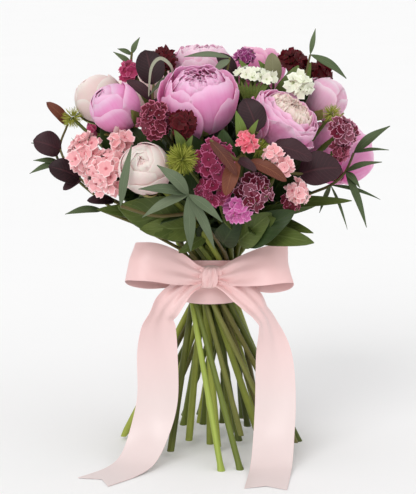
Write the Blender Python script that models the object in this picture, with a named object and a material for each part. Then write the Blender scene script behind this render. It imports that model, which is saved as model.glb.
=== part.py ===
"""A hand-tied bouquet that stands on its own cut stems.

Peonies, heads of sweet william, smoke bush and willow eucalyptus cross at the tie in a
spiral, so that the stems spread again below it and carry the bouquet. A string binds the
stems, and a satin ribbon covers the string and ends in a bow with two tails.

Every size and place below is in millimetres. The centre stem's cut foot is the origin,
+Z is up and -Y is the side with the bow.
"""

import math
from dataclasses import dataclass

import bpy
from mathutils import Vector

MM = 0.001
GAP = 0.4

TIE_HEIGHT = 172.0
SLOT_RINGS = {0: (0.0, 1), 1: (8.0, 6), 2: (15.8, 14), 3: (23.5, 20)}
SLOT_TURN = {0: 0.0, 1: 30.0, 2: 0.0, 3: 0.0}
SPIRAL_PER_MM = 0.022
SPREAD_PER_MM2 = 0.00020
FORK_HEIGHT = 206.0
FOOT_STEPS = (0.0, 7.0, 0.0, 12.0, 0.0, 4.0, 16.0)

RIBBON_WIDTH = 40.0
RIBBON_THICK = 0.9
BAND_RADIUS = 30.4
STRING_COIL_RADIUS = 28.2
STRING_RADIUS = 0.7
STRING_TURNS = 1.5
STRING_STEPS = 16
KNOT_MIDDLE = (0.0, -39.0, 182.0)
KNOT_RADII = (10.0, 6.5)
KNOT_RINGS = ((-12, 0.62), (-7, 0.97), (7, 0.97), (12, 0.62))

PEONY_STEM_RADIUS = 3.3
SPRAY_STEM_RADIUS = 2.8
BRANCH_STEM_RADII = (2.9, 2.6, 2.6, 2.3)
TWIG_RADIUS = 1.7
TWIG_TAPER = 0.12
RAISED_FOOT = 6.0

PETAL_THICK = 1.4
PETAL_ROOT = 0.45
PETAL_ROWS = 3
PETAL_COLUMNS = 3
TIGHT_OPENING = 0.3
LEAF_THICK = 1.1
NARROW_LEAF = 7.0
LEAF_ARCH = 0.12
LEAF_ROOT = 2.2
SPIKE_RADIUS = 1.5
GOLDEN_ANGLE = math.pi * (3 - math.sqrt(5))
FORK = None

PINK = (0.80, 0.36, 0.58)
BLUSH = (0.86, 0.68, 0.70)
HOT_PINK = (0.78, 0.20, 0.42)
ROSE = (0.62, 0.10, 0.30)
CRIMSON = (0.20, 0.01, 0.04)
PLUM = (0.30, 0.03, 0.14)
SALMON = (0.85, 0.36, 0.37)
CORAL = (0.82, 0.18, 0.24)
IVORY = (0.80, 0.82, 0.70)
VIOLET = (0.34, 0.08, 0.26)
STEM_GREEN = (0.13, 0.20, 0.04)
EUCALYPTUS_GREEN = (0.16, 0.24, 0.16)
SMOKE_PURPLE = (0.06, 0.02, 0.03)
SATIN_PINK = (0.85, 0.62, 0.62)
JUTE = (0.42, 0.32, 0.18)


@dataclass(frozen=True)
class Peony:
    """One bloom: its middle, its radius, where it faces and how far it has opened."""

    name: str
    middle: tuple
    radius: float
    facing: tuple
    opening: float
    slot: tuple
    colour: tuple
    stem_leaves: tuple = ()


@dataclass(frozen=True)
class Head:
    """One domed head of florets, or a lime tuft where florets is 0."""

    middle: tuple
    radius: float
    facing: tuple
    florets: int
    floret_radius: float = 7.5
    flatness: float = 0.75


@dataclass(frozen=True)
class Spray:
    """A sweet william stem: the slots it fills, its heads by node name, and its leaves."""

    name: str
    slots: tuple
    heads: dict
    colours: dict
    leaves: tuple = ()


@dataclass(frozen=True)
class Branch:
    """A leafy branch: a trunk up to its fork, twigs that start there, and its leaves.

    A twig is the list of points that it passes, the first of them FORK or on another twig.
    A leaf is its base, its tip and its width.
    """

    name: str
    slot: tuple
    colour: tuple
    twigs: tuple
    leaves: tuple
    round_leaves: bool


@dataclass(frozen=True)
class Bend:
    """One place along the ribbon: the middle of its width, the way across it and the width there."""

    middle: tuple
    across: tuple
    width: float = RIBBON_WIDTH


PEONIES = (
    Peony("peony_centre", (-10, -68, 356), 36, (0, -0.4, 0.9), 0.55, (1, 5), PINK),
    Peony("peony_top", (-8, 14, 380), 31, (0, -0.05, 1), 0.5, (0, 0), PINK),
    Peony(
        "peony_top_right", (48, 60, 376), 28, (0.1, 0.25, 1), 0.5, (1, 2), HOT_PINK,
        ((252, (54, 62, 264), 16),),
    ),
    Peony("peony_left_bud", (-90, -70, 350), 25, (-0.6, -0.45, 0.65), 0.0, (2, 12), PINK),
    Peony(
        "peony_left_pale", (-109, -14, 354), 25, (-0.6, 0, 0.8), 0.0, (2, 10), BLUSH,
        ((240, (-90, 18, 262), 16),),
    ),
    Peony(
        "peony_front_pale", (-60, -118, 298), 26, (-0.15, -0.85, 0.5), 0.15, (3, 17.9), BLUSH,
        ((240, (-84, -110, 262), 14), (228, (-66, -104, 230), 20)),
    ),
    Peony("peony_right_open", (70, -72, 339), 36, (0.45, -0.6, 0.65), 1.0, (2, 1), PINK),
    Peony("peony_right_back", (113, -7, 353), 24, (0.5, 0, 0.85), 0.2, (2, 3), PINK),
    Peony(
        "peony_right_edge", (127, 13, 298), 35, (0.85, 0.1, 0.35), 0.8, (3, 5.3), PINK,
        ((236, (116, 44, 244), 15),),
    ),
    Peony(
        "peony_back_left", (-64, 66, 350), 34, (-0.4, 0.6, 0.7), 0.5, (1, 3), BLUSH,
        ((240, (-34, 86, 262), 16),),
    ),
    Peony(
        "peony_back_low", (20, 112, 306), 34, (0.1, 0.85, 0.5), 0.6, (2, 6), PINK,
        ((240, (52, 100, 250), 16), (230, (4, 98, 238), 14)),
    ),
)

SPRAYS = (
    Spray(
        "sweet_william_spray_left",
        ((3, 16.2), (3, 16.85)),
        {
            "florets_salmon_left": (
                Head((-117, -73, 308), 22, (-0.8, -0.5, 0.45), 7, 8.6),
                Head((-96, -91, 292), 25, (-0.55, -0.8, 0.35), 9, 9.0),
            ),
            "tuft_left": (Head((-134, -24, 336), 10, (-0.8, -0.3, 0.6), 0),),
        },
        {"florets_salmon_left": SALMON},
        ((245, (-106, -92, 256), 10),),
    ),
    Spray(
        "sweet_william_spray_top_left",
        ((1, 4),),
        {
            "florets_crimson_top_left": (Head((-46, -12, 389), 15, (-0.2, -0.3, 1), 6, 6.8),),
            "florets_rose_top_left": (Head((-77, -16, 379), 13, (-0.4, -0.3, 0.9), 5, 6.4),),
        },
        {"florets_crimson_top_left": CRIMSON, "florets_rose_top_left": ROSE},
    ),
    Spray(
        "sweet_william_spray_burgundy",
        ((2, 13),),
        {
            "florets_burgundy": (
                Head((-51, -100, 341), 18, (-0.3, -0.8, 0.6), 7, 7.4),
                Head((-27, -111, 336), 15, (0, -0.85, 0.5), 5, 7.0),
            )
        },
        {"florets_burgundy": PLUM},
    ),
    Spray(
        "sweet_william_spray_magenta",
        ((3, 19.6),),
        {
            "florets_magenta": (Head((4, -116, 305), 21, (0, -0.9, 0.45), 7, 8.4),),
            "tuft_front": (Head((-26, -128, 308), 14, (-0.3, -0.85, 0.5), 0),),
        },
        {"florets_magenta": ROSE},
    ),
    Spray(
        "sweet_william_spray_picotee",
        ((3, 1.25), (3, 1.85)),
        {
            "florets_picotee": (Head((36, -104, 270), 24, (0.2, -0.9, 0.3), 8, 9.2),),
            "florets_salmon_low": (Head((80, -92, 272), 14, (0.55, -0.8, 0.3), 5, 7.2),),
        },
        {"florets_picotee": PLUM, "florets_salmon_low": SALMON},
        ((232, (78, -108, 244), 14), (226, (46, -104, 226), 12)),
    ),
    Spray(
        "sweet_william_spray_coral",
        ((2, 0.1),),
        {
            "florets_salmon_small": (Head((66, -121, 307), 11, (0.3, -0.85, 0.5), 4, 6.6),),
            "florets_coral": (Head((33, -124, 325), 9, (0.1, -0.9, 0.5), 3, 6.6),),
            "tuft_right": (Head((46, -108, 316), 9, (0.3, -0.8, 0.6), 0),),
        },
        {"florets_salmon_small": SALMON, "florets_coral": CORAL},
    ),
    Spray(
        "sweet_william_spray_white",
        ((1, 0),),
        {
            "florets_white_flat": (Head((42, -34, 381), 21, (0.1, -0.35, 1), 7, 7.0, 0.35),),
            "florets_white_round": (Head((87, -44, 376), 15, (0.25, -0.7, 0.8), 5, 6.6, 0.4),),
        },
        {"florets_white_flat": IVORY, "florets_white_round": IVORY},
    ),
    Spray(
        "sweet_william_spray_right",
        ((3, 3.5),),
        {"florets_plum_right": (Head((126, -58, 322), 17, (0.7, -0.65, 0.45), 7, 7.4),)},
        {"florets_plum_right": PLUM},
        ((250, (136, -62, 260), 12), (236, (98, -82, 232), 14)),
    ),
    Spray(
        "sweet_william_spray_top_right",
        ((1, 1),),
        {
            "florets_violet": (Head((33, 4, 397), 11, (0.1, -0.3, 1), 4, 6.2),),
            "florets_crimson_top_right": (
                Head((82, 12, 387), 15, (0.3, -0.2, 1), 6, 7.2),
                Head((101, 25, 378), 15, (0.5, -0.1, 0.9), 5, 7.4),
            ),
        },
        {"florets_violet": VIOLET, "florets_crimson_top_right": CRIMSON},
    ),
    Spray(
        "sweet_william_spray_back",
        ((3, 11.2), (3, 11.85)),
        {
            "florets_rose_back": (Head((-108, 42, 318), 20, (-0.85, 0.4, 0.5), 5, 8.8),),
            "florets_salmon_back": (Head((-50, 112, 304), 20, (-0.4, 0.85, 0.45), 5, 8.8),),
        },
        {"florets_salmon_back": SALMON, "florets_rose_back": ROSE},
        ((232, (-95, 55, 250), 13), (232, (-40, 105, 246), 13)),
    ),
)

BRANCHES = (
    Branch(
        "smoke_bush_left", (3, 15.2), SMOKE_PURPLE,
        (
            (FORK, (-55, -28, 236), (-100, -48, 262), (-126, -38, 278), (-146, -24, 304), (-140, -8, 328)),
            ((-55, -28, 236), (-92, -66, 260)),
        ),
        (
            ((-140, -8, 328), (-160, -14, 350), 12),
            ((-146, -24, 304), (-172, -30, 314), 27),
            ((-126, -38, 278), (-156, -46, 291), 26),
            ((-126, -38, 278), (-142, -46, 268), 10),
            ((-92, -66, 260), (-117, -76, 262), 11),
        ),
        True,
    ),
    Branch(
        "smoke_bush_top", (2, 11), SMOKE_PURPLE,
        (
            (FORK, (-40, -30, 260), (-52, -44, 320), (-55, -50, 356), (-54, -46, 370)),
            (FORK, (4, -14, 270), (18, -22, 340), (24, -20, 376)),
        ),
        (
            ((-54, -46, 370), (-62, -34, 402), 28),
            ((-55, -50, 356), (-46, -62, 346), 10),
            ((-55, -50, 356), (-80, -46, 374), 12),
            ((24, -20, 376), (6, -28, 398), 17),
        ),
        True,
    ),
    Branch(
        "smoke_bush_right", (3, 2.7), SMOKE_PURPLE,
        (
            (FORK, (32, -42, 252), (24, -88, 298), (30, -112, 309), (36, -122, 306)),
            ((24, -88, 298), (38, -94, 322), (44, -105, 331)),
            ((30, -112, 309), (24, -127, 308), (12, -134, 318), (0, -137, 327)),
            (FORK, (52, -70, 262), (62, -88, 292), (64, -100, 311)),
            ((62, -88, 292), (90, -83, 288)),
            (FORK, (48, -14, 270), (60, -13, 340), (62, -12, 368)),
        ),
        (
            ((44, -105, 331), (32, -97, 361), 26),
            ((64, -100, 311), (95, -104, 304), 20),
            ((90, -83, 288), (122, -82, 303), 35),
            ((62, -12, 368), (60, -12, 398), 17),
            ((36, -122, 306), (70, -128, 288), 13),
            ((24, -126, 308), (14, -138, 276), 15),
            ((0, -137, 326), (24, -141, 295), 11),
            ((25, -124, 308), (42, -134, 298), 10),
        ),
        True,
    ),
    Branch(
        "eucalyptus_front", (3, 18.8), EUCALYPTUS_GREEN,
        (
            (FORK, (0, -70, 232), (-16, -112, 256), (-20, -138, 277)),
            ((-16, -112, 256), (-50, -130, 256), (-82, -136, 266)),
        ),
        (
            ((-20, -138, 277), (-65, -152, 284), 10),
            ((-20, -138, 277), (-62, -146, 257), 10),
            ((-20, -138, 277), (-48, -154, 306), 13),
            ((-20, -138, 277), (11, -148, 253), 10),
            ((-20, -138, 277), (-18, -130, 223), 11),
            ((-20, -138, 277), (4, -134, 226), 9),
            ((-82, -136, 266), (-71, -142, 324), 8),
        ),
        False,
    ),
    Branch(
        "eucalyptus_left", (3, 14), EUCALYPTUS_GREEN,
        (
            (FORK, (-75, -22, 232), (-118, -24, 264), (-146, -18, 290), (-152, -16, 302)),
            ((-75, -22, 232), (-104, -58, 250)),
        ),
        (
            ((-152, -16, 302), (-174, -30, 312), 5),
            ((-146, -18, 290), (-172, -32, 295), 6),
            ((-146, -18, 290), (-175, -38, 283), 8),
            ((-104, -58, 250), (-138, -76, 249), 9),
        ),
        False,
    ),
    Branch(
        "eucalyptus_top", (2, 9), EUCALYPTUS_GREEN,
        (
            (FORK, (-38, -2, 280), (-58, 2, 340), (-76, 6, 382), (-77, 6, 398)),
            ((-38, -2, 280), (-36, -26, 350), (-35, -34, 378)),
            (FORK, (-19, -9, 219), (-13, -16, 235), (0, -18, 262), (10, -30, 350), (19, -36, 395)),
        ),
        (
            ((-76, 6, 383), (-95, 2, 398), 6),
            ((-77, 6, 395), (-91, 4, 401), 5),
            ((-77, 6, 396), (-69, 6, 412), 6),
            ((-35, -34, 378), (-58, -66, 361), 5),
            ((19, -36, 395), (-25, -40, 396), 6),
            ((19, -36, 393), (3, -40, 381), 8),
        ),
        False,
    ),
    Branch(
        "eucalyptus_right", (3, 4.4), EUCALYPTUS_GREEN,
        (
            (
                FORK, (36, 13, 228), (54, 12, 258), (62, 13, 280), (82, -2, 330), (91, -8, 366),
                (98, -6, 396),
            ),
            (FORK, (84, 0, 250), (118, -26, 270), (132, -30, 284), (140, -28, 302)),
        ),
        (
            ((98, -6, 396), (103, -2, 421), 5),
            ((98, -6, 396), (134, 2, 372), 9),
            ((140, -28, 302), (175, -26, 328), 10),
            ((140, -28, 302), (174, -30, 305), 4),
            ((132, -30, 284), (166, -44, 295), 7),
            ((132, -30, 284), (145, -46, 270), 7),
            ((118, -26, 270), (166, -34, 257), 4),
            ((118, -26, 270), (106, -48, 246), 5),
        ),
        False,
    ),
)

LEFT_TILT = (0.25, 0.4, 0.88)
RIGHT_TILT = (-0.12, 0.42, 0.9)
LEFT_LOOP = (
    Bend((-3, -42, 182), (0, 0, 1), 15),
    Bend((-16, -47, 185), (0, 0.15, 1), 21),
    Bend((-32, -54, 192), (0.1, 0.4, 0.91), 33),
    Bend((-52, -59, 199), LEFT_TILT, 38),
    Bend((-68, -57, 200), LEFT_TILT, 39),
    Bend((-78, -48, 198), LEFT_TILT, 39),
    Bend((-74, -38, 191), LEFT_TILT, 39),
    Bend((-58, -34, 187), LEFT_TILT, 38),
    Bend((-38, -35, 185), (0.1, 0.4, 0.91), 31),
    Bend((-18, -37, 183), (0, 0.1, 1), 20),
    Bend((-3, -37, 182), (0, 0, 1), 15),
)
RIGHT_LOOP = (
    Bend((3, -42, 182), (0, 0, 1), 15),
    Bend((16, -47, 184), (0, 0.15, 1), 21),
    Bend((32, -53, 190), (0, 0.42, 0.9), 32),
    Bend((51, -58, 195), RIGHT_TILT, 38),
    Bend((67, -55, 197), RIGHT_TILT, 39),
    Bend((77, -46, 195), RIGHT_TILT, 39),
    Bend((73, -37, 187), RIGHT_TILT, 39),
    Bend((57, -34, 183), RIGHT_TILT, 38),
    Bend((38, -35, 183), (0, 0.42, 0.9), 31),
    Bend((18, -37, 182), (0, 0.1, 1), 20),
    Bend((3, -37, 182), (0, 0, 1), 15),
)
LEFT_TAIL = (
    Bend((-3, -41, 180), (-0.2, 0.15, 0.96), 12),
    Bend((-18, -47.5, 176), (-0.52, 0.28, 0.8), 16),
    Bend((-29, -51, 169), (-0.66, 0.28, 0.68), 22),
    Bend((-38.5, -55, 159.5), (-0.8, -0.1, 0.4), 27),
    Bend((-46.7, -58.5, 147.5), (-0.81, -0.52, -0.27), 32),
    Bend((-50.4, -58.5, 134), (-0.9, -0.38, -0.2), 37),
    Bend((-51.5, -56.5, 108), (-0.98, -0.18, -0.05)),
    Bend((-51.5, -58, 64), (-1, 0, 0)),
    Bend((-60, -66, 30), (-0.96, 0.28, 0)),
    Bend((-70, -80, 9), (-0.9, 0.44, 0)),
    Bend((-85, -99, 1.6), (-0.82, 0.57, 0)),
    Bend((-111, -129, 0.8), (-0.82, 0.57, 0)),
)
RIGHT_TAIL = (
    Bend((3, -41, 180), (0.2, 0.15, 0.96), 12),
    Bend((16, -48, 176.8), (0.66, 0.2, 0.72), 18),
    Bend((29, -52, 170), (0.73, 0.32, 0.6), 25),
    Bend((41, -53.5, 160), (0.77, 0.5, 0.4), 27),
    Bend((49.5, -54, 149.5), (0.65, 0.74, -0.1), 30),
    Bend((56.5, -52.5, 136), (0.6, 0.7, -0.38), 34),
    Bend((62.5, -54, 104), (0.92, 0.35, -0.15), 39),
    Bend((64, -60, 64), (1, 0.08, 0)),
    Bend((62.5, -70, 32), (1, 0, 0)),
    Bend((60, -88, 10), (1, 0, 0)),
    Bend((57, -108, 2), (1, -0.05, 0)),
    Bend((52, -150, 0.8), (1, -0.1, 0)),
)


def unit(vector):
    """The vector at length 1."""
    return Vector(vector).normalized()


def frame_along(direction, hint=(0.0, 0.0, 1.0)):
    """Three axes with the third along direction and the first as near hint as it can be."""
    third = unit(direction)
    first = Vector(hint) - third * third.dot(Vector(hint))
    if first.length < 1e-4:
        first = Vector((1, 0, 0)) - third * third.x
    first.normalize()
    return first, third.cross(first), third


def slot_point(slot):
    """Where a stem in this slot crosses the tie."""
    ring, index = slot
    radius, count = SLOT_RINGS[ring]
    angle = math.radians(SLOT_TURN[ring] + 360.0 * index / count)
    return Vector((radius * math.cos(angle), radius * math.sin(angle)))


def spiral_point(slot, height):
    """Where the spiral carries a stem of this slot: straight below the tie and opening above it."""
    rise = height - TIE_HEIGHT
    grow = SPIRAL_PER_MM * rise
    if rise > 0:
        grow += SPREAD_PER_MM2 * rise * rise
    scale = math.sqrt(1 + grow * grow)
    turn = -math.atan(grow)
    at = slot_point(slot)
    return Vector((
        scale * (at.x * math.cos(turn) - at.y * math.sin(turn)),
        scale * (at.x * math.sin(turn) + at.y * math.cos(turn)),
        height,
    ))


def stem_point(slot, target, height):
    """Where a stem is at a height: along the spiral at first, and bending over to target."""
    top = Vector(target)
    drift = top - spiral_point(slot, top.z)
    rise = max(height - TIE_HEIGHT, 0.0) / (top.z - TIE_HEIGHT)
    return spiral_point(slot, height) + drift * rise ** 2


def rising_path(slot, target, start_height, steps=5):
    """Points of a stem from start_height up to target."""
    top = Vector(target)
    heights = [start_height + (top.z - start_height) * i / steps for i in range(steps + 1)]
    return [stem_point(slot, target, height) for height in heights]


def foot_height(slot):
    """How far a stem's cut end is above the surface, where the middle and every second outer stem stand."""
    ring, index = slot
    place = int(index)
    if ring == 0:
        return 0.0
    if ring == 3:
        return 0.0 if place % 2 == 0 else FOOT_STEPS[place % len(FOOT_STEPS)]
    return RAISED_FOOT + FOOT_STEPS[(place * 2 + ring) % len(FOOT_STEPS)]


def facing_out(points, faces):
    """The faces, turned round together if they enclose the points' volume inside out."""
    points = [Vector(p) for p in points]
    volume = 0.0
    for face in faces:
        for k in range(1, len(face) - 1):
            a, b, c = points[face[0]], points[face[k]], points[face[k + 1]]
            volume += a.dot(b.cross(c))
    return faces if volume > 0 else [tuple(reversed(face)) for face in faces]


def make_object(name, points, faces, material=None):
    """A mesh object from points in millimetres."""
    mesh = bpy.data.meshes.new(name)
    mesh.from_pydata([Vector(p) * MM for p in points], [], facing_out(points, faces))
    obj = bpy.data.objects.new(name, mesh)
    bpy.context.scene.collection.objects.link(obj)
    if material:
        mesh.materials.append(material)
    return obj


def finish(name, shapes, colour, roughness=0.6, solver="EXACT"):
    """One object made of all the shapes, joined by a Boolean union."""
    material = bpy.data.materials.new(name)
    material.use_nodes = True
    shader = material.node_tree.nodes["Principled BSDF"]
    shader.inputs["Base Color"].default_value = (*colour, 1)
    shader.inputs["Roughness"].default_value = roughness
    obj = make_object(name, *shapes[0], material)
    if len(shapes) == 1:
        return obj
    joined = bpy.data.collections.new(name + "_pieces")
    bpy.context.scene.collection.children.link(joined)
    pieces = []
    for points, faces in shapes[1:]:
        piece = make_object(name + "_piece", points, faces)
        bpy.context.scene.collection.objects.unlink(piece)
        joined.objects.link(piece)
        pieces.append(piece)
    union = obj.modifiers.new("union", "BOOLEAN")
    union.operation = "UNION"
    union.operand_type = "COLLECTION"
    union.collection = joined
    union.solver = solver
    bpy.context.view_layer.update()
    bpy.context.view_layer.objects.active = obj
    bpy.ops.object.modifier_apply(modifier=union.name)
    for piece in pieces:
        bpy.data.objects.remove(piece)
    bpy.data.collections.remove(joined)
    return obj


def loft(rings):
    """A closed body through rings of equally many points, capped at both ends."""
    sides = len(rings[0])
    faces = [tuple(range(sides)), tuple((len(rings) - 1) * sides + k for k in reversed(range(sides)))]
    for i in range(len(rings) - 1):
        for k in range(sides):
            n = (k + 1) % sides
            faces.append((i * sides + k, (i + 1) * sides + k, (i + 1) * sides + n, i * sides + n))
    return [p for ring in rings for p in ring], faces


def way_along(points, i):
    """The way that a line of points runs at its point i."""
    return (points[min(i + 1, len(points) - 1)] - points[max(i - 1, 0)]).normalized()


def tube(points, radii, sides, flat_foot=False):
    """A closed round stem along points. flat_foot cuts its first end level."""
    points = [Vector(p) for p in points]
    across = frame_along(way_along(points, 0), (1, 0, 0))[0]
    rings = []
    for i, at in enumerate(points):
        along = way_along(points, i)
        across = (across - along * along.dot(across)).normalized()
        side = along.cross(across)
        ring = []
        for k in range(sides):
            turn = 2 * math.pi * k / sides
            offset = (across * math.cos(turn) + side * math.sin(turn)) * radii[i]
            if i == 0 and flat_foot:
                offset -= along * (offset.z / along.z)
            ring.append(at + offset)
        rings.append(ring)
    return loft(rings)


def ribbon(bends, notch=0.0):
    """A strip of ribbon through the bends. notch cuts a V of that depth into its last end."""
    points = [Vector(bend.middle) for bend in bends]
    rings = []
    for i, bend in enumerate(bends):
        along = way_along(points, i)
        across = Vector(bend.across)
        across = (across - along * along.dot(across)).normalized()
        normal = along.cross(across).normalized() * RIBBON_THICK / 2
        half = across * bend.width / 2
        line = [points[i] - half, points[i] + half]
        if notch:
            line.insert(1, points[i] - along * (notch if i == len(bends) - 1 else 0.0))
        rings.append([p - normal for p in line] + [p + normal for p in reversed(line)])
    return loft(rings)


def spike(base, tip):
    """A slim three-sided spike from base to tip."""
    across, side, _ = frame_along(tip - base)
    verts = [tip]
    for k in range(3):
        turn = 2 * math.pi * k / 3
        verts.append(base + (across * math.cos(turn) + side * math.sin(turn)) * SPIKE_RADIUS)
    return verts, [(0, 1, 2), (0, 2, 3), (0, 3, 1), (3, 2, 1)]


def ball(middle, radii, axis, rings, sides):
    """A closed ball with its own radius across and along the axis."""
    across, side, along = frame_along(axis)
    middle = Vector(middle)
    verts = [middle - along * radii[1]]
    for i in range(1, rings):
        polar = math.pi * i / rings
        for k in range(sides):
            turn = 2 * math.pi * (k + 0.5 * (i % 2)) / sides
            outward = across * math.cos(turn) + side * math.sin(turn)
            verts.append(middle + outward * radii[0] * math.sin(polar) - along * radii[1] * math.cos(polar))
    verts.append(middle + along * radii[1])
    faces = [(0, 1 + (k + 1) % sides, 1 + k) for k in range(sides)]
    for i in range(rings - 2):
        low, high = 1 + i * sides, 1 + (i + 1) * sides
        for k in range(sides):
            n = (k + 1) % sides
            faces.append((low + k, low + n, high + n, high + k))
    top, last = len(verts) - 1, 1 + (rings - 2) * sides
    faces += [(top, last + k, last + (k + 1) % sides) for k in range(sides)]
    return verts, faces


def leaf(base, tip, width, facing, stations=((0.3, 0.85), (0.68, 0.8)), fold=0.18):
    """A closed blade from base to tip, arched along its length and folded along its rib.

    Each station is a share of the length and the share of the width that it has there.
    """
    base, tip = Vector(base), Vector(tip)
    length = (tip - base).length
    normal, side, along = frame_along(tip - base, facing)
    rib = []
    for share, _ in stations:
        rib.append(base + (along * share + normal * LEAF_ARCH * math.sin(math.pi * share)) * length)
    verts = [base - (rib[0] - base).normalized() * LEAF_ROOT, tip]
    for middle, (_, wide) in zip(rib, stations):
        half = width / 2 * wide
        verts += [
            middle + side * half + normal * fold * half,
            middle + normal * LEAF_THICK / 2,
            middle - side * half + normal * fold * half,
            middle - normal * LEAF_THICK / 2,
        ]
    count = len(stations)
    faces = []
    for k in range(4):
        n = (k + 1) % 4
        faces.append((0, 2 + k, 2 + n))
        for i in range(count - 1):
            low, high = 2 + 4 * i, 6 + 4 * i
            faces.append((low + k, high + k, high + n, low + n))
        last = 2 + 4 * (count - 1)
        faces.append((1, last + n, last + k))
    return verts, faces


def petal(middle, axis, core, turn, reach, half_width, offset, flare):
    """A cupped, lens-shaped petal that rises from the underside of a bloom's core.

    turn is its place round the axis and reach the angle from the base pole of its tip.
    offset is its distance from the core and flare how much further off its tip is.
    """
    across, side, along = frame_along(axis, (0.31, 0.57, 0.76))
    verts, inner_points, inner = [], [], []
    for i in range(PETAL_ROWS + 1):
        up = i / PETAL_ROWS
        polar = PETAL_ROOT + (reach - PETAL_ROOT) * up
        wide = half_width * (0.34 + 1.15 * up - 0.85 * up ** 3)
        size = core + (offset if i else -2.2) + flare * up * up
        for j in range(PETAL_COLUMNS + 1):
            over = 2 * j / PETAL_COLUMNS - 1
            angle = turn + over * wide / max(math.sin(min(polar, 2.3)), 0.5)
            lean = polar - 0.12 * (reach - PETAL_ROOT) * over * over * up
            outward = across * math.cos(angle) + side * math.sin(angle)
            direction = outward * math.sin(lean) - along * math.cos(lean)
            inner.append(len(verts))
            verts.append(middle + direction * size)
            if 0 < i < PETAL_ROWS and 0 < j < PETAL_COLUMNS:
                inner[-1] = (PETAL_ROWS + 1) * (PETAL_COLUMNS + 1) + len(inner_points)
                inner_points.append(middle + direction * (size - PETAL_THICK))
    faces = []
    for i in range(PETAL_ROWS):
        for j in range(PETAL_COLUMNS):
            first = i * (PETAL_COLUMNS + 1) + j
            corners = [first, first + 1, first + PETAL_COLUMNS + 2, first + PETAL_COLUMNS + 1]
            if (i < PETAL_ROWS / 2) != (j < PETAL_COLUMNS / 2):
                corners = corners[1:] + corners[:1]
            a, b, c, d = corners
            faces += [(a, b, c), (a, c, d)]
            faces += [(inner[a], inner[c], inner[b]), (inner[a], inner[d], inner[c])]
    return verts + inner_points, faces


def core_radius(bloom):
    """The radius of the tight ball of petals in a bloom's middle."""
    return bloom.radius * (0.9 - 0.2 * bloom.opening) - 1.5


def peony_shapes(bloom):
    """The ball of a bloom and its outer petals, from a tight bud to an open cup."""
    axis, middle = unit(bloom.facing), Vector(bloom.middle)
    core = core_radius(bloom)
    shapes = [ball(middle, (core, core), axis, 5, 8)]
    layers = [(3, 2.4, 0.80, 3.0, 0.0)]
    if bloom.opening >= TIGHT_OPENING:
        layers = [
            (3, 2.2, 0.80, 3.2, 2.0 + 3 * bloom.opening),
            (4, 2.0 - 0.2 * bloom.opening, 0.66, 6.6, 3.0 + 8 * bloom.opening),
        ]
    for layer, (count, reach, half_width, offset, flare) in enumerate(layers):
        for i in range(count):
            turn = 2 * math.pi * (i + layer / 2) / count
            tip_angle = reach - 0.12 * (i % 2)
            shapes.append(petal(middle, axis, core, turn, tip_angle, half_width, offset, flare))
    return shapes


def peony_base(bloom):
    """Where the stem meets the bloom."""
    return Vector(bloom.middle) - unit(bloom.facing) * (core_radius(bloom) + GAP)


def main_stem(slot, target, radius):
    """A stem from its cut foot, through its slot in the tie, to target."""
    foot = spiral_point(slot, foot_height(slot))
    path = [foot, spiral_point(slot, TIE_HEIGHT - 12)] + rising_path(slot, target, TIE_HEIGHT + 8, 3)
    thin = len(path) - 2
    radii = [radius * 1.15, radius] + [radius * (1 - 0.25 * i / thin) for i in range(thin)]
    return tube(path, radii, 5, True)


def make_peony(bloom):
    """The petals as one node, and the stem with its sepals as another."""
    finish(bloom.name + "_petals", peony_shapes(bloom), bloom.colour)
    axis = unit(bloom.facing)
    base = peony_base(bloom)
    shapes = [main_stem(bloom.slot, base - axis * 3, PEONY_STEM_RADIUS)]
    shapes.append(tube([base - axis * 5.5, base], [2.2, 5.0], 6))
    across, side, _ = frame_along(axis)
    for k in range(3):
        turn = 2 * math.pi * k / 3 + 0.4
        outward = across * math.cos(turn) + side * math.sin(turn)
        tip = base + outward * bloom.radius * 0.6 - axis * 1.2
        shapes.append(leaf(base - axis * 2.4, tip, 11, -axis, ((0.5, 1.0),), fold=-0.1))
    for height, tip, width in bloom.stem_leaves:
        shapes.append(leaf(stem_point(bloom.slot, base - axis * 3, height), tip, width, (0, 0, 1)))
    finish(bloom.name + "_stem", shapes, STEM_GREEN)


def floret(middle, facing, radius, turn):
    """One five-lobed floret: a shallow dish whose underside tapers to a short tube."""
    across, side, along = frame_along(facing, (0.3, 0.2, 0.93))
    middle = Vector(middle)
    verts = [middle - along * radius * 0.08, middle - along * radius * 1.1]
    for k in range(10):
        angle = turn + 2 * math.pi * k / 10
        reach, lift = (1.0, 0.2) if k % 2 else (0.72, 0.0)
        outward = across * math.cos(angle) + side * math.sin(angle)
        verts.append(middle + outward * radius * reach + along * radius * lift)
    faces = []
    for k in range(0, 10, 2):
        notch, lobe, other = 2 + k, 3 + k, 2 + (k + 2) % 10
        faces += [(0, notch, lobe), (0, lobe, other), (notch, other, lobe), (1, other, notch)]
    return verts, faces


def dome_directions(head):
    """Directions spread evenly over a head's dome, from its top to just under its rim."""
    across, side, along = frame_along(head.facing, (0.2, 0.4, 0.9))
    lowest = -0.15 if head.flatness > 0.5 else 0.25
    for i in range(head.florets):
        height = 1 - (1 - lowest) * (i + 0.5) / head.florets
        ring = math.sqrt(1 - height * height)
        angle = i * GOLDEN_ANGLE
        yield (across * math.cos(angle) + side * math.sin(angle)) * ring, along * height, angle


def head_shapes(head):
    """A slim core and the florets that cover it."""
    along = unit(head.facing)
    middle = Vector(head.middle)
    core = head.radius * 0.62
    shapes = [ball(middle, (core, core * head.flatness), along, 3, 6)]
    reach = head.radius - head.floret_radius * 0.25
    for outward, upward, angle in dome_directions(head):
        at = middle + outward * reach * 0.82 + upward * reach * head.flatness
        facing = outward * 0.9 + upward + along * 0.25
        shapes.append(floret(at, facing, head.floret_radius, angle))
    return shapes


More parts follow.
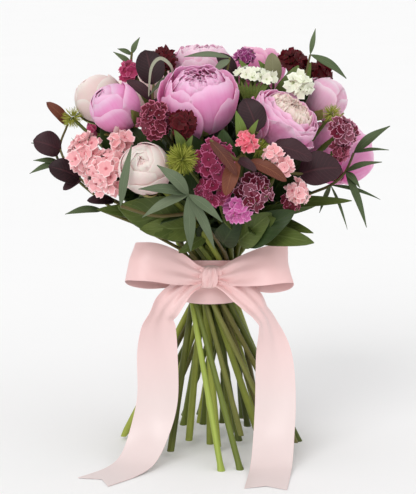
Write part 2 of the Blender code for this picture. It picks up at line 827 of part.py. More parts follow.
def head_base(head):
    """Where the stem meets the underside of a head."""
    return Vector(head.middle) - unit(head.facing) * (head.radius * 0.62 * head.flatness + GAP)


def tuft_shapes(head):
    """A lime tuft: a small core with fine spikes on all sides."""
    count = 5 + int(head.radius / 2)
    middle = Vector(head.middle)
    across, side, along = frame_along(head.facing)
    shapes = [ball(middle, (head.radius * 0.5, head.radius * 0.5), along, 4, 6)]
    for i in range(count):
        height = 1 - 1.7 * (i + 0.5) / count
        ring = math.sqrt(1 - height * height)
        angle = i * GOLDEN_ANGLE
        outward = (across * math.cos(angle) + side * math.sin(angle)) * ring + along * height
        shapes.append(spike(middle + outward * head.radius * 0.3, middle + outward * head.radius * 1.05))
    return shapes


def make_spray(spray):
    """Each head as a node of its own colour, and the green stems, bracts and tufts as one node."""
    green = []
    stems = []
    slots = list(spray.slots)
    for name, heads in spray.heads.items():
        if name in spray.colours:
            shapes = []
            for head in heads:
                shapes += head_shapes(head)
            finish(name, shapes, spray.colours[name])
        for head in heads:
            base = head_base(head) if head.florets else Vector(head.middle)
            if slots:
                slot = slots.pop(0)
                stems.append((slot, base))
                green.append(main_stem(slot, base, SPRAY_STEM_RADIUS))
                fork, beyond = rising_path(slot, base, FORK_HEIGHT)[:2]
                fork_way = (beyond - fork).normalized()
            else:
                middle = (fork + base) / 2 + fork_way * (base - fork).length * 0.12
                path = [fork - fork_way * 3, fork + fork_way * 6, middle, base]
                green.append(tube(path, [2.0, 2.0, 1.9, 1.8], 4))
            if not head.florets:
                green += tuft_shapes(head)
                continue
            along = unit(head.facing)
            green.append(tube([base - along * 5, base], [1.6, 0.3 * head.radius], 5))
    for (height, tip, width), (slot, base) in zip(spray.leaves, stems * 2):
        green.append(leaf(stem_point(slot, base, height), tip, width, (0, 0, 1)))
    finish(spray.name, green, STEM_GREEN)


def make_branch(branch):
    """A leafy branch as one node: trunk, twigs and leaves."""
    foot = spiral_point(branch.slot, foot_height(branch.slot))
    waist = [spiral_point(branch.slot, TIE_HEIGHT + rise) for rise in (-12, 8)]
    fork = spiral_point(branch.slot, FORK_HEIGHT)
    shapes = [tube([foot, *waist, fork], BRANCH_STEM_RADII, 5, True)]
    before = fork + (waist[1] - fork).normalized() * 3
    for twig in branch.twigs:
        path = [before, *twig[1:]] if twig[0] is FORK else twig
        shapes.append(tube(path, [TWIG_RADIUS - TWIG_TAPER * i for i in range(len(path))], 4))
    for base, tip, width in branch.leaves:
        stations = ((0.28, 0.9), (0.7, 0.92)) if branch.round_leaves else ((0.3, 0.9), (0.65, 0.85))
        if width <= NARROW_LEAF:
            stations = ((0.42, 1.0),)
        shapes.append(leaf(base, tip, width, (0, -0.8, 0.6), stations))
    finish(branch.name, shapes, branch.colour)


def make_binding():
    """The string, wound round the stems at the tie."""
    points, pitch = [], 3 * STRING_RADIUS
    for i in range(int(STRING_STEPS * STRING_TURNS) + 1):
        turn = 2 * math.pi * i / STRING_STEPS
        height = TIE_HEIGHT + pitch * (i / STRING_STEPS - STRING_TURNS / 2)
        points.append((STRING_COIL_RADIUS * math.cos(turn), STRING_COIL_RADIUS * math.sin(turn), height))
    finish("binding_string", [tube(points, [STRING_RADIUS] * len(points), 3)], JUTE)


def make_band():
    """The ribbon band round the stems, as an open sleeve."""
    sides = 24
    rings = []
    for radius, rise in ((0, -0.5), (RIBBON_THICK, -0.5), (RIBBON_THICK, 0.5), (0, 0.5)):
        ring = []
        for k in range(sides):
            turn = 2 * math.pi * k / sides
            reach = BAND_RADIUS + radius
            ring.append((reach * math.cos(turn), reach * math.sin(turn), TIE_HEIGHT + RIBBON_WIDTH * rise))
        rings.append(ring)
    points = [p for ring in rings for p in ring]
    faces = []
    for i in range(4):
        low, high = i * sides, (i + 1) % 4 * sides
        for k in range(sides):
            n = (k + 1) % sides
            faces.append((low + k, low + n, high + n, high + k))
    finish("ribbon_band", [(points, faces)], SATIN_PINK, 0.35)


def make_bow():
    """The knot, both loops and both tails, tied from one ribbon.

    The exact solver leaves open edges where the strips meet inside the knot.
    """
    rings = []
    for rise, size in KNOT_RINGS:
        ring = []
        for k in range(10):
            turn = 2 * math.pi * k / 10
            across = KNOT_RADII[0] * size * math.cos(turn)
            deep = KNOT_RADII[1] * size * math.sin(turn)
            ring.append(Vector(KNOT_MIDDLE) + Vector((across, deep, rise)))
        rings.append(ring)
    strips = [ribbon(LEFT_LOOP), ribbon(RIGHT_LOOP), ribbon(LEFT_TAIL, 12), ribbon(RIGHT_TAIL, 9)]
    finish("ribbon_bow", [loft(rings), *strips], SATIN_PINK, 0.35, "MANIFOLD")


def clear_scene():
    """Removes whatever the file held before."""
    for obj in list(bpy.data.objects):
        bpy.data.objects.remove(obj)


def main():
    """Builds every node of the bouquet."""
    clear_scene()
    for bloom in PEONIES:
        make_peony(bloom)
    for spray in SPRAYS:
        make_spray(spray)
    for branch in BRANCHES:
        make_branch(branch)
    make_binding()
    make_band()
    make_bow()


main()
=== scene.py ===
"""The looks of a hand-tied bouquet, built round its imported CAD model.

Every CAD node is replaced by a finer piece in the same place: ruffled peonies, heads of
fringed sweet william, lime tufts, round smoke bush leaves, willow eucalyptus, jointed
stems and a satin ribbon with its bow. Sizes and places are in millimetres until a mesh is
made. The centre stem's cut foot is the origin, +Z is up and -Y is the side with the bow.
"""

import logging
import math
import random
from dataclasses import dataclass
from enum import Enum
from functools import cache
from typing import Sequence

import bpy
import numpy as np
from mathutils import Matrix, Vector


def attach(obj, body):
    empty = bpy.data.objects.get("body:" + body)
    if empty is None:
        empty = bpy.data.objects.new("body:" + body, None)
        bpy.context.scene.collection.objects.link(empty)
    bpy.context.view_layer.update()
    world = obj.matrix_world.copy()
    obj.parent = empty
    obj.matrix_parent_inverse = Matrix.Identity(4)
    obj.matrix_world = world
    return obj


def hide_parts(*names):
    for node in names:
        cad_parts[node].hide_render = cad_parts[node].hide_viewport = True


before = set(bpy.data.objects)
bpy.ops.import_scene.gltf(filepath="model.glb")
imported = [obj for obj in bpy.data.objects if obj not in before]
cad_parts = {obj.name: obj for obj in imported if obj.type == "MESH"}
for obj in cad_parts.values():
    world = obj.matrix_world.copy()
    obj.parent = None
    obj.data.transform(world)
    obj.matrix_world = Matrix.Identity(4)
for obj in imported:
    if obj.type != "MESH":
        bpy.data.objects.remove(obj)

MM = 0.001
SEAM_GAP = 0.000005
SMOOTH_ANGLE = 55.0
GOLDEN_ANGLE = math.pi * (3 - math.sqrt(5))
LOG = logging.getLogger("bouquet")

Colour = tuple[float, float, float]
Point = tuple[float, float, float]
Slot = tuple[int, float]
Dice = random.Random
Piece = bpy.types.Object
Socket = bpy.types.NodeSocket

FOOT_DEPTH = 2.0
LOWEST_JOINT = 224.0
TOP_WITHOUT_LEAVES = 36.0
FLORETS_PER_SOLID = 3


class LeafForm(Enum):
    """How a leaf's outline swells between its base and its tip."""

    WILLOW = (0.80, 1.00)
    LANCE = (0.72, 0.80)
    OVATE = (0.66, 0.62)
    ROUND = (0.88, 0.50)


class BloomForm(Enum):
    """How far a peony has opened, which sets its rings of petals."""

    BUD = "bud"
    CUP = "cup"
    OPEN = "open"


def unit(vector: Sequence[float]) -> np.ndarray:
    """The vector at length 1."""
    vector = np.asarray(vector, dtype=float)
    return vector / np.linalg.norm(vector)


def frame_along(direction: Sequence[float], hint: Sequence[float] = (0, 0, 1)) -> tuple:
    """Three axes, the third along a direction and the first as near the hint as it can be.

    Args:
        direction: The way of the third axis.
        hint: The way that the first axis leans to.

    Returns:
        The first, second and third axis.
    """
    third = unit(direction)
    hint = np.asarray(hint, dtype=float)
    first = hint - third * third.dot(hint)
    if np.linalg.norm(first) < 1e-4:
        first = np.array((1.0, 0.0, 0.0)) - third * third[0]
    first = unit(first)
    return first, np.cross(third, first), third


def around(first: np.ndarray, second: np.ndarray, angle: float) -> np.ndarray:
    """The way at an angle from the first of two axes towards the second."""
    return first * math.cos(angle) + second * math.sin(angle)


def shaken(way: np.ndarray, dice: Dice, amount: float) -> np.ndarray:
    """A way, turned a little by chance."""
    return unit(way + np.array([dice.uniform(-amount, amount) for _ in range(3)]))


def unit_rows(rows: np.ndarray) -> np.ndarray:
    """Every row of a table at length 1."""
    return rows / np.linalg.norm(rows, axis=1)[:, None]


def row_of(along: np.ndarray, count: int) -> np.ndarray:
    """Which of a line's points each vertex of a grid belongs to."""
    return np.rint(along * (count - 1)).astype(int)


def smooth_line(points: Sequence[Sequence[float]], steps: int) -> np.ndarray:
    """A smooth curve through points of any number of columns.

    Args:
        points: The points that the curve passes.
        steps: How many steps it takes from one point to the next.

    Returns:
        The points of the curve, one a row.
    """
    rows = np.asarray(points, dtype=float)
    rows = np.vstack([2 * rows[0] - rows[1], rows, 2 * rows[-1] - rows[-2]])
    line = []
    for i in range(1, len(rows) - 2):
        a, b, c, d = rows[i - 1:i + 3]
        for t in np.arange(steps) / steps:
            bend = (2 * a - 5 * b + 4 * c - d) * t * t + (3 * b - a - 3 * c + d) * t ** 3
            line.append(b + 0.5 * ((c - a) * t + bend))
    line.append(rows[-2])
    return np.array(line)


def clear_selection() -> None:
    """Leaves nothing selected, so that an operator acts on the new piece alone."""
    bpy.ops.object.select_all(action="DESELECT")


def add_grid(name: str, columns: int, rows: int) -> Piece:
    """Adds a flat grid that a sheet is shaped from.

    Args:
        name: The object's name.
        columns: Its faces across.
        rows: Its faces along.

    Returns:
        The grid, 2 m wide and long, with a UV map from 0 to 1 each way.
    """
    clear_selection()
    bpy.ops.mesh.primitive_grid_add(x_subdivisions=columns, y_subdivisions=rows, size=2)
    grid = bpy.context.active_object
    grid.name = name
    return grid


def twin(template: Piece, place: Matrix | None = None) -> Piece:
    """Copies an object with its own mesh.

    Args:
        template: What is copied.
        place: Where the copy's mesh goes, in metres, or None to leave it.

    Returns:
        The copy.
    """
    copy = template.copy()
    copy.data = template.data.copy()
    if place is not None:
        copy.data.transform(place)
    bpy.context.scene.collection.objects.link(copy)
    return copy


def shares(sheet: Piece) -> tuple[np.ndarray, np.ndarray]:
    """The place of each vertex of a grid that is still flat.

    Args:
        sheet: The grid.

    Returns:
        Its shares across, from -1 to 1, and its shares along, from 0 to 1.
    """
    flat = np.empty(len(sheet.data.vertices) * 3)
    sheet.data.vertices.foreach_get("co", flat)
    flat = flat.reshape(-1, 3)
    return flat[:, 0], (flat[:, 1] + 1) / 2


def shape(sheet: Piece, points: np.ndarray) -> Piece:
    """Moves each vertex of a flat grid to its place on a surface.

    Args:
        sheet: The grid.
        points: The places in millimetres, one a row.

    Returns:
        The same sheet.
    """
    sheet.data.vertices.foreach_set("co", (points * MM).ravel())
    sheet.data.update()
    return sheet


def join(pieces: Sequence[Piece]) -> Piece:
    """Joins pieces into the first of them.

    Args:
        pieces: At least one object.

    Returns:
        The joined object.
    """
    clear_selection()
    for piece in pieces:
        piece.select_set(True)
    bpy.context.view_layer.objects.active = pieces[0]
    if len(pieces) > 1:
        bpy.ops.object.join()
    return pieces[0]


def thicken(sheets: Sequence[Piece], thickness: float) -> Piece:
    """Joins sheets and gives them a thickness, half of it on each side.

    Args:
        sheets: The open sheets.
        thickness: In millimetres.

    Returns:
        One object of closed sheets.
    """
    body = join(sheets)
    wall = body.modifiers.new("wall", "SOLIDIFY")
    wall.thickness = thickness * MM
    wall.offset = 0
    bpy.ops.object.modifier_apply(modifier=wall.name)
    return body


def seal(tubes: Sequence[Piece], capped: bool = True) -> Piece:
    """Joins rolled-up grids, merges their seams and fills their ends.

    Args:
        tubes: The rolled-up grids.
        capped: Whether their ends are filled.

    Returns:
        One object of tubes.
    """
    body = join(tubes)
    bpy.ops.object.mode_set(mode="EDIT")
    bpy.ops.mesh.select_all(action="SELECT")
    bpy.ops.mesh.remove_doubles(threshold=SEAM_GAP)
    if capped:
        bpy.ops.mesh.fill_holes(sides=0)
        bpy.ops.mesh.select_all(action="SELECT")
        bpy.ops.mesh.normals_make_consistent(inside=False)
    bpy.ops.object.mode_set(mode="OBJECT")
    return body


def roll(name: str, line: Sequence[Point], radii: Sequence[float], sides: int) -> Piece:
    """Rolls a grid into a round stem along a line.

    Args:
        name: The object's name.
        line: The points of its middle.
        radii: Its radius at each point.
        sides: How many faces it has round it.

    Returns:
        A tube that isn't sealed yet.
    """
    line, radii = np.asarray(line, dtype=float), np.asarray(radii, dtype=float)
    ways = unit_rows(np.gradient(line, axis=0))
    firsts = [frame_along(ways[0], (1, 0.2, 0))[0]]
    for way in ways[1:]:
        firsts.append(unit(firsts[-1] - way * way.dot(firsts[-1])))
    firsts = np.array(firsts)
    seconds = np.cross(ways, firsts)
    tube = add_grid(name, sides, len(line) - 1)
    across, along = shares(tube)
    row = row_of(along, len(line))
    turn = (math.pi * (across + 1))[:, None]
    out = firsts[row] * np.cos(turn) + seconds[row] * np.sin(turn)
    return shape(tube, line[row] + out * radii[row][:, None])


def dress(piece: Piece, finish: str, tint: float = 0.5) -> Piece:
    """Gives a piece its finish and, on every vertex, the number that the finish reads as its tint.

    Args:
        piece: The piece.
        finish: Its finish.
        tint: Its place between the finish's two shades, from 0 to 1.

    Returns:
        The same piece.
    """
    piece.data.materials.append(material_of(finish))
    own = piece.data.attributes.new("tint", "FLOAT", "POINT")
    own.data.foreach_set("value", np.full(len(piece.data.vertices), tint, dtype=np.float32))
    return piece


def hand_in(name: str, parts: Sequence[Piece], node: str) -> Piece:
    """Joins a piece's parts and puts it in place of its CAD node.

    Args:
        name: The piece's name.
        parts: Its closed parts.
        node: The CAD node that it stands for.

    Returns:
        The finished piece.
    """
    piece = join(parts)
    piece.name = name
    piece.data.name = name
    bpy.ops.object.shade_smooth_by_angle(angle=math.radians(SMOOTH_ANGLE))
    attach(piece, "root")
    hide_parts(node)
    LOG.info("%s: %d faces", name, len(piece.data.polygons))
    return piece


class Recipe:
    """A material under construction, with short ways to add and link its nodes."""

    def __init__(self, name: str, roughness: float, specular: float = 0.25, sheen: float = 0.0) -> None:
        """Starts a material.

        Args:
            name: The material's name.
            roughness: How matt it is.
            specular: How strongly it mirrors.
            sheen: How much velvet shows at its edges.
        """
        self.material = bpy.data.materials.new(name)
        self.material.use_nodes = True
        self.tree = self.material.node_tree
        self.shader = self.tree.nodes["Principled BSDF"]
        self.set("Roughness", roughness)
        self.set("Specular IOR Level", specular)
        self.set("Sheen Weight", sheen)

    def add(self, kind: str, **settings: object) -> bpy.types.Node:
        """Adds a node.

        Args:
            kind: What kind of shader node it is.
            **settings: Its settings by name.

        Returns:
            The node.
        """
        node = self.tree.nodes.new("ShaderNode" + kind)
        for key, value in settings.items():
            setattr(node, key, value)
        return node

    def feed(self, value: object, socket: Socket) -> None:
        """Fills a socket.

        Args:
            value: A number or colour to set it to, or another socket to link to it.
            socket: The socket.
        """
        if isinstance(value, Socket):
            self.tree.links.new(value, socket)
        else:
            socket.default_value = value

    def set(self, name: str, value: object) -> None:
        """Fills an input of the shader."""
        self.feed(value, self.shader.inputs[name])

    def math(self, operation: str, a: object, b: object = 0.0, clamp: bool = False) -> Socket:
        """The result of one sum.

        Args:
            operation: Which sum.
            a: Its first number or socket.
            b: Its second one, if it has two.
            clamp: Whether the result is kept from 0 to 1.

        Returns:
            The result.
        """
        node = self.add("Math", operation=operation, use_clamp=clamp)
        self.feed(a, node.inputs[0])
        self.feed(b, node.inputs[1])
        return node.outputs[0]

    def times(self, a: object, b: object, clamp: bool = False) -> Socket:
        """One number times another."""
        return self.math("MULTIPLY", a, b, clamp)

    def plus(self, a: object, b: object, clamp: bool = False) -> Socket:
        """One number and another."""
        return self.math("ADD", a, b, clamp)

    def minus(self, a: object, b: object, clamp: bool = False) -> Socket:
        """One number less another."""
        return self.math("SUBTRACT", a, b, clamp)

    def mix(self, factor: object, a: object, b: object) -> Socket:
        """Two colours, blended.

        Args:
            factor: How much the blend has of the second, from 0 to 1.
            a: The first colour, or its socket.
            b: The second.

        Returns:
            The blend.
        """
        node = self.add("Mix", data_type="RGBA")
        self.feed(factor, node.inputs[0])
        for colour, socket in ((a, node.inputs[6]), (b, node.inputs[7])):
            self.feed(colour if isinstance(colour, Socket) else (*colour, 1), socket)
        return node.outputs[2]

    def ramp(self, factor: Socket, stops: Sequence[tuple[float, Colour]]) -> Socket:
        """A colour that changes with a number.

        Args:
            factor: The number.
            stops: Pairs of a number and the colour there.

        Returns:
            The colour.
        """
        node = self.add("ValToRGB")
        node.color_ramp.interpolation = "EASE"
        elements = node.color_ramp.elements
        while len(elements) < len(stops):
            elements.new(0.5)
        for element, (position, colour) in zip(elements, stops):
            element.position = position
            element.color = (*colour, 1)
        self.feed(factor, node.inputs[0])
        return node.outputs[0]

    def split(self, vector: Socket) -> Sequence[Socket]:
        """The three numbers of a vector.

        Args:
            vector: The vector.

        Returns:
            Their sockets.
        """
        node = self.add("SeparateXYZ")
        self.feed(vector, node.inputs[0])
        return node.outputs

    def across_and_along(self) -> Sequence[Socket]:
        """The piece's own UV map, as its share across and its share along."""
        return self.split(self.add("UVMap").outputs[0])[:2]

    def place(self) -> Socket:
        """The place on the piece, in metres."""
        return self.add("TexCoord").outputs["Object"]

    def tint(self) -> Socket:
        """The number that each part keeps on its vertices."""
        return self.add("Attribute", attribute_name="tint").outputs["Fac"]

    def off_middle(self, across: Socket) -> Socket:
        """How far a point is from the middle of its sheet, up to 0.5 at its edge."""
        return self.math("ABSOLUTE", self.minus(across, 0.5))

    def noise(self, scale: float, vector: Socket | None = None, detail: float = 3.0) -> Socket:
        """Soft noise.

        Args:
            scale: How fine it is.
            vector: What it changes with, or None for the place on the piece.
            detail: How much finer noise it has on top.

        Returns:
            The noise, from 0 to 1.
        """
        node = self.add("TexNoise")
        node.inputs["Scale"].default_value = scale
        node.inputs["Detail"].default_value = detail
        self.feed(vector or self.place(), node.inputs["Vector"])
        return node.outputs["Fac"]

    def streaks(self, *numbers: Socket) -> Socket:
        """Noise that is drawn out into streaks.

        Args:
            *numbers: The three numbers that it changes with.

        Returns:
            The streaks, from 0 to 1.
        """
        node = self.add("CombineXYZ")
        for number, socket in zip(numbers, node.inputs):
            self.feed(number, socket)
        return self.noise(1.0, node.outputs[0])

    def bump(self, height: Socket, strength: float, depth: float) -> None:
        """Gives the shader its fine relief.

        Args:
            height: The relief.
            strength: How much of it shows.
            depth: Its depth in millimetres.
        """
        node = self.add("Bump")
        node.inputs["Strength"].default_value = strength
        node.inputs["Distance"].default_value = depth * MM
        self.feed(height, node.inputs["Height"])
        self.set("Normal", node.outputs[0])

    def coloured(self, colour: Socket) -> bpy.types.Material:
        """The finished material, in its colour."""
        self.set("Base Color", colour)
        return self.material


@dataclass(frozen=True)
class PetalFinish:
    """A soft petal: its colour at the base, over the blade, at the rim and in a deep petal."""

    name: str
    base: Colour
    blade: Colour
    rim: Colour
    deep: Colour
    streaks: float = 0.35

    def material(self) -> bpy.types.Material:
        """The petal's material, with streaks that run from its base to its rim.

        Returns:
            The material.
        """
        recipe = Recipe(self.name, roughness=0.55, sheen=0.05)
        across, along = recipe.across_and_along()
        stops = (0.05, self.base), (0.42, self.blade), (0.80, self.blade), (1.0, self.rim)
        blade = recipe.ramp(along, stops)
        edge = recipe.math("POWER", recipe.times(recipe.off_middle(across), 2.0), 6.0)
        blade = recipe.mix(recipe.times(edge, 0.6), blade, self.rim)
        tint = recipe.tint()
        streak = recipe.streaks(recipe.times(across, 24.0), recipe.times(along, 1.6), recipe.times(tint, 9.0))
        depth = recipe.times(recipe.minus(streak, 0.42, True), self.streaks * 6.0)
        blade = recipe.mix(recipe.times(depth, recipe.minus(1.05, along, True), True), blade, self.base)
        recipe.bump(streak, strength=0.5, depth=0.35)
        recipe.set("Subsurface Weight", 0.45)
        recipe.set("Subsurface Radius", (1.0, 0.5, 0.7))
        recipe.set("Subsurface Scale", 0.005)
        return recipe.coloured(recipe.mix(recipe.times(recipe.minus(0.5, tint, True), 1.6), blade, self.deep))


@dataclass(frozen=True)
class FloretFinish:
    """A fringed floret: the colour of its eye, of the ring round it, of its blade and its rim."""

    name: str
    eye: Colour
    ring: Colour
    blade: Colour
    rim: Colour
    rim_start: float = 0.80
    velvet: float = 0.05

    def material(self) -> bpy.types.Material:
        """The floret's material, in rings from its eye outwards.

        Returns:
            The material.
        """
        recipe = Recipe(self.name, roughness=0.6, specular=0.22, sheen=self.velvet)
        across, outwards = recipe.across_and_along()
        along = recipe.times(outwards, 4 / 3, True)
        ragged = recipe.plus(along, recipe.times(recipe.minus(recipe.noise(420.0), 0.5), 0.14))
        inner = (0.02, self.eye), (0.16, self.ring), (0.40, self.blade)
        rings = recipe.ramp(ragged, (*inner, (self.rim_start, self.blade), (0.97, self.rim)))
        tint = recipe.tint()
        lighter = recipe.math("MAXIMUM", recipe.times(recipe.minus(tint, 0.5), 0.28), 0.0)
        recipe.bump(recipe.streaks(recipe.times(across, 40.0), along, tint), strength=0.5, depth=0.4)
        return recipe.coloured(recipe.mix(lighter, rings, self.rim))


@dataclass(frozen=True)
class LeafFinish:
    """A leaf: its two shades, the colour of its veins, how matt it is and how its veins show."""

    name: str
    dark: Colour
    light: Colour
    vein: Colour
    roughness: float
    vein_count: float
    vein_show: float

    def material(self) -> bpy.types.Material:
        """The leaf's material, with a midrib and slanting side veins.

        Returns:
            The material.
        """
        recipe = Recipe(self.name, self.roughness)
        across, along = recipe.across_and_along()
        side = recipe.off_middle(across)
        slant = recipe.minus(recipe.times(along, self.vein_count), recipe.times(side, 5.0))
        wave = recipe.off_middle(recipe.math("FRACT", slant))
        veins = recipe.minus(1.0, recipe.times(wave, 9.0), True)
        midrib = recipe.minus(1.0, recipe.times(side, 22.0), True)
        lines = recipe.math("MAXIMUM", midrib, recipe.times(veins, 0.5))
        shade = recipe.plus(recipe.times(recipe.noise(70.0), 0.6), recipe.minus(recipe.tint(), 0.3), True)
        blade = recipe.mix(shade, self.dark, self.light)
        recipe.bump(lines, strength=0.6, depth=0.4)
        return recipe.coloured(recipe.mix(recipe.times(lines, self.vein_show), blade, self.vein))


@dataclass(frozen=True)
class StemFinish:
    """A stem: its fresh and its woody shade, in streaks along it, and the height from which painted shade
    darkens it towards the woody shade.
    """

    name: str
    fresh: Colour
    woody: Colour
    painted_shade_from: float = 0.13

    def material(self) -> bpy.types.Material:
        """The stem's material, streaked along its length and darkened with painted shade up among the leaves
        and flowers.

        Returns:
            The material.
        """
        recipe = Recipe(self.name, roughness=0.45)
        across, along = recipe.across_and_along()
        tint = recipe.tint()
        streak = recipe.streaks(recipe.times(across, 7.0), recipe.times(along, 5.0), recipe.times(tint, 8.0))
        grain = recipe.plus(recipe.times(streak, 0.5), recipe.times(recipe.noise(45.0), 0.4))
        shade = recipe.plus(grain, recipe.times(recipe.minus(tint, 0.65), 1.35), True)
        body = recipe.mix(shade, self.fresh, self.woody)
        # Painted shade: higher up among the leaves and flowers the stem is mixed halfway towards its woody
        # colour.
        height = recipe.split(recipe.place())[2]
        painted_shade_share = recipe.times(recipe.minus(height, self.painted_shade_from), 5.0, True)
        recipe.bump(streak, strength=0.3, depth=0.3)
        return recipe.coloured(recipe.mix(recipe.times(painted_shade_share, 0.5), body, self.woody))


@dataclass(frozen=True)
class SatinFinish:
    """Satin ribbon: its colour, and the deeper colour of its woven edge and of the painted shade that darkens
    it upwards towards the knot.
    """

    name: str
    pale: Colour
    deep: Colour
    knot_shade_from: float = 0.06

    def material(self) -> bpy.types.Material:
        """The satin's material, with cross threads, a woven edge on both sides and painted shade that deepens
        its colour from the tails up to the knot.

        Returns:
            The material.
        """
        recipe = Recipe(self.name, roughness=0.36, specular=0.4, sheen=0.3)
        across, along = recipe.across_and_along()
        threads = recipe.math("SINE", recipe.times(along, 2600.0))
        hem = recipe.times(recipe.minus(recipe.off_middle(across), 0.475, True), 24.0, True)
        # Painted shade: higher up towards the knot the one-coloured ribbon is mixed, in soft clouds, towards
        # its deeper colour, so the tails stay paler.
        height = recipe.split(recipe.place())[2]
        knot_shade = recipe.times(recipe.minus(height, self.knot_shade_from), 9.0, True)
        cloud = recipe.plus(recipe.times(recipe.noise(26.0, detail=1.0), 0.5), 0.6)
        body = recipe.mix(recipe.times(knot_shade, cloud, True), self.pale, self.deep)
        relief = recipe.plus(recipe.times(threads, 0.4), recipe.times(hem, 2.0))
        recipe.bump(relief, strength=0.12, depth=0.15)
        recipe.set("Anisotropic", 0.4)
        return recipe.coloured(recipe.mix(recipe.times(hem, 0.35), body, self.deep))


@dataclass(frozen=True)
class PlainFinish:
    """A surface with fine grain in two shades."""

    name: str
    dark: Colour
    light: Colour
    grain: float
    roughness: float = 0.8

    def material(self) -> bpy.types.Material:
        """The material, mottled in the piece's own place.

        Returns:
            The material.
        """
        recipe = Recipe(self.name, self.roughness)
        grain = recipe.noise(self.grain)
        shade = recipe.plus(recipe.times(grain, 0.8), recipe.minus(recipe.tint(), 0.4), True)
        recipe.bump(grain, strength=0.4, depth=0.3)
        return recipe.coloured(recipe.mix(shade, self.dark, self.light))


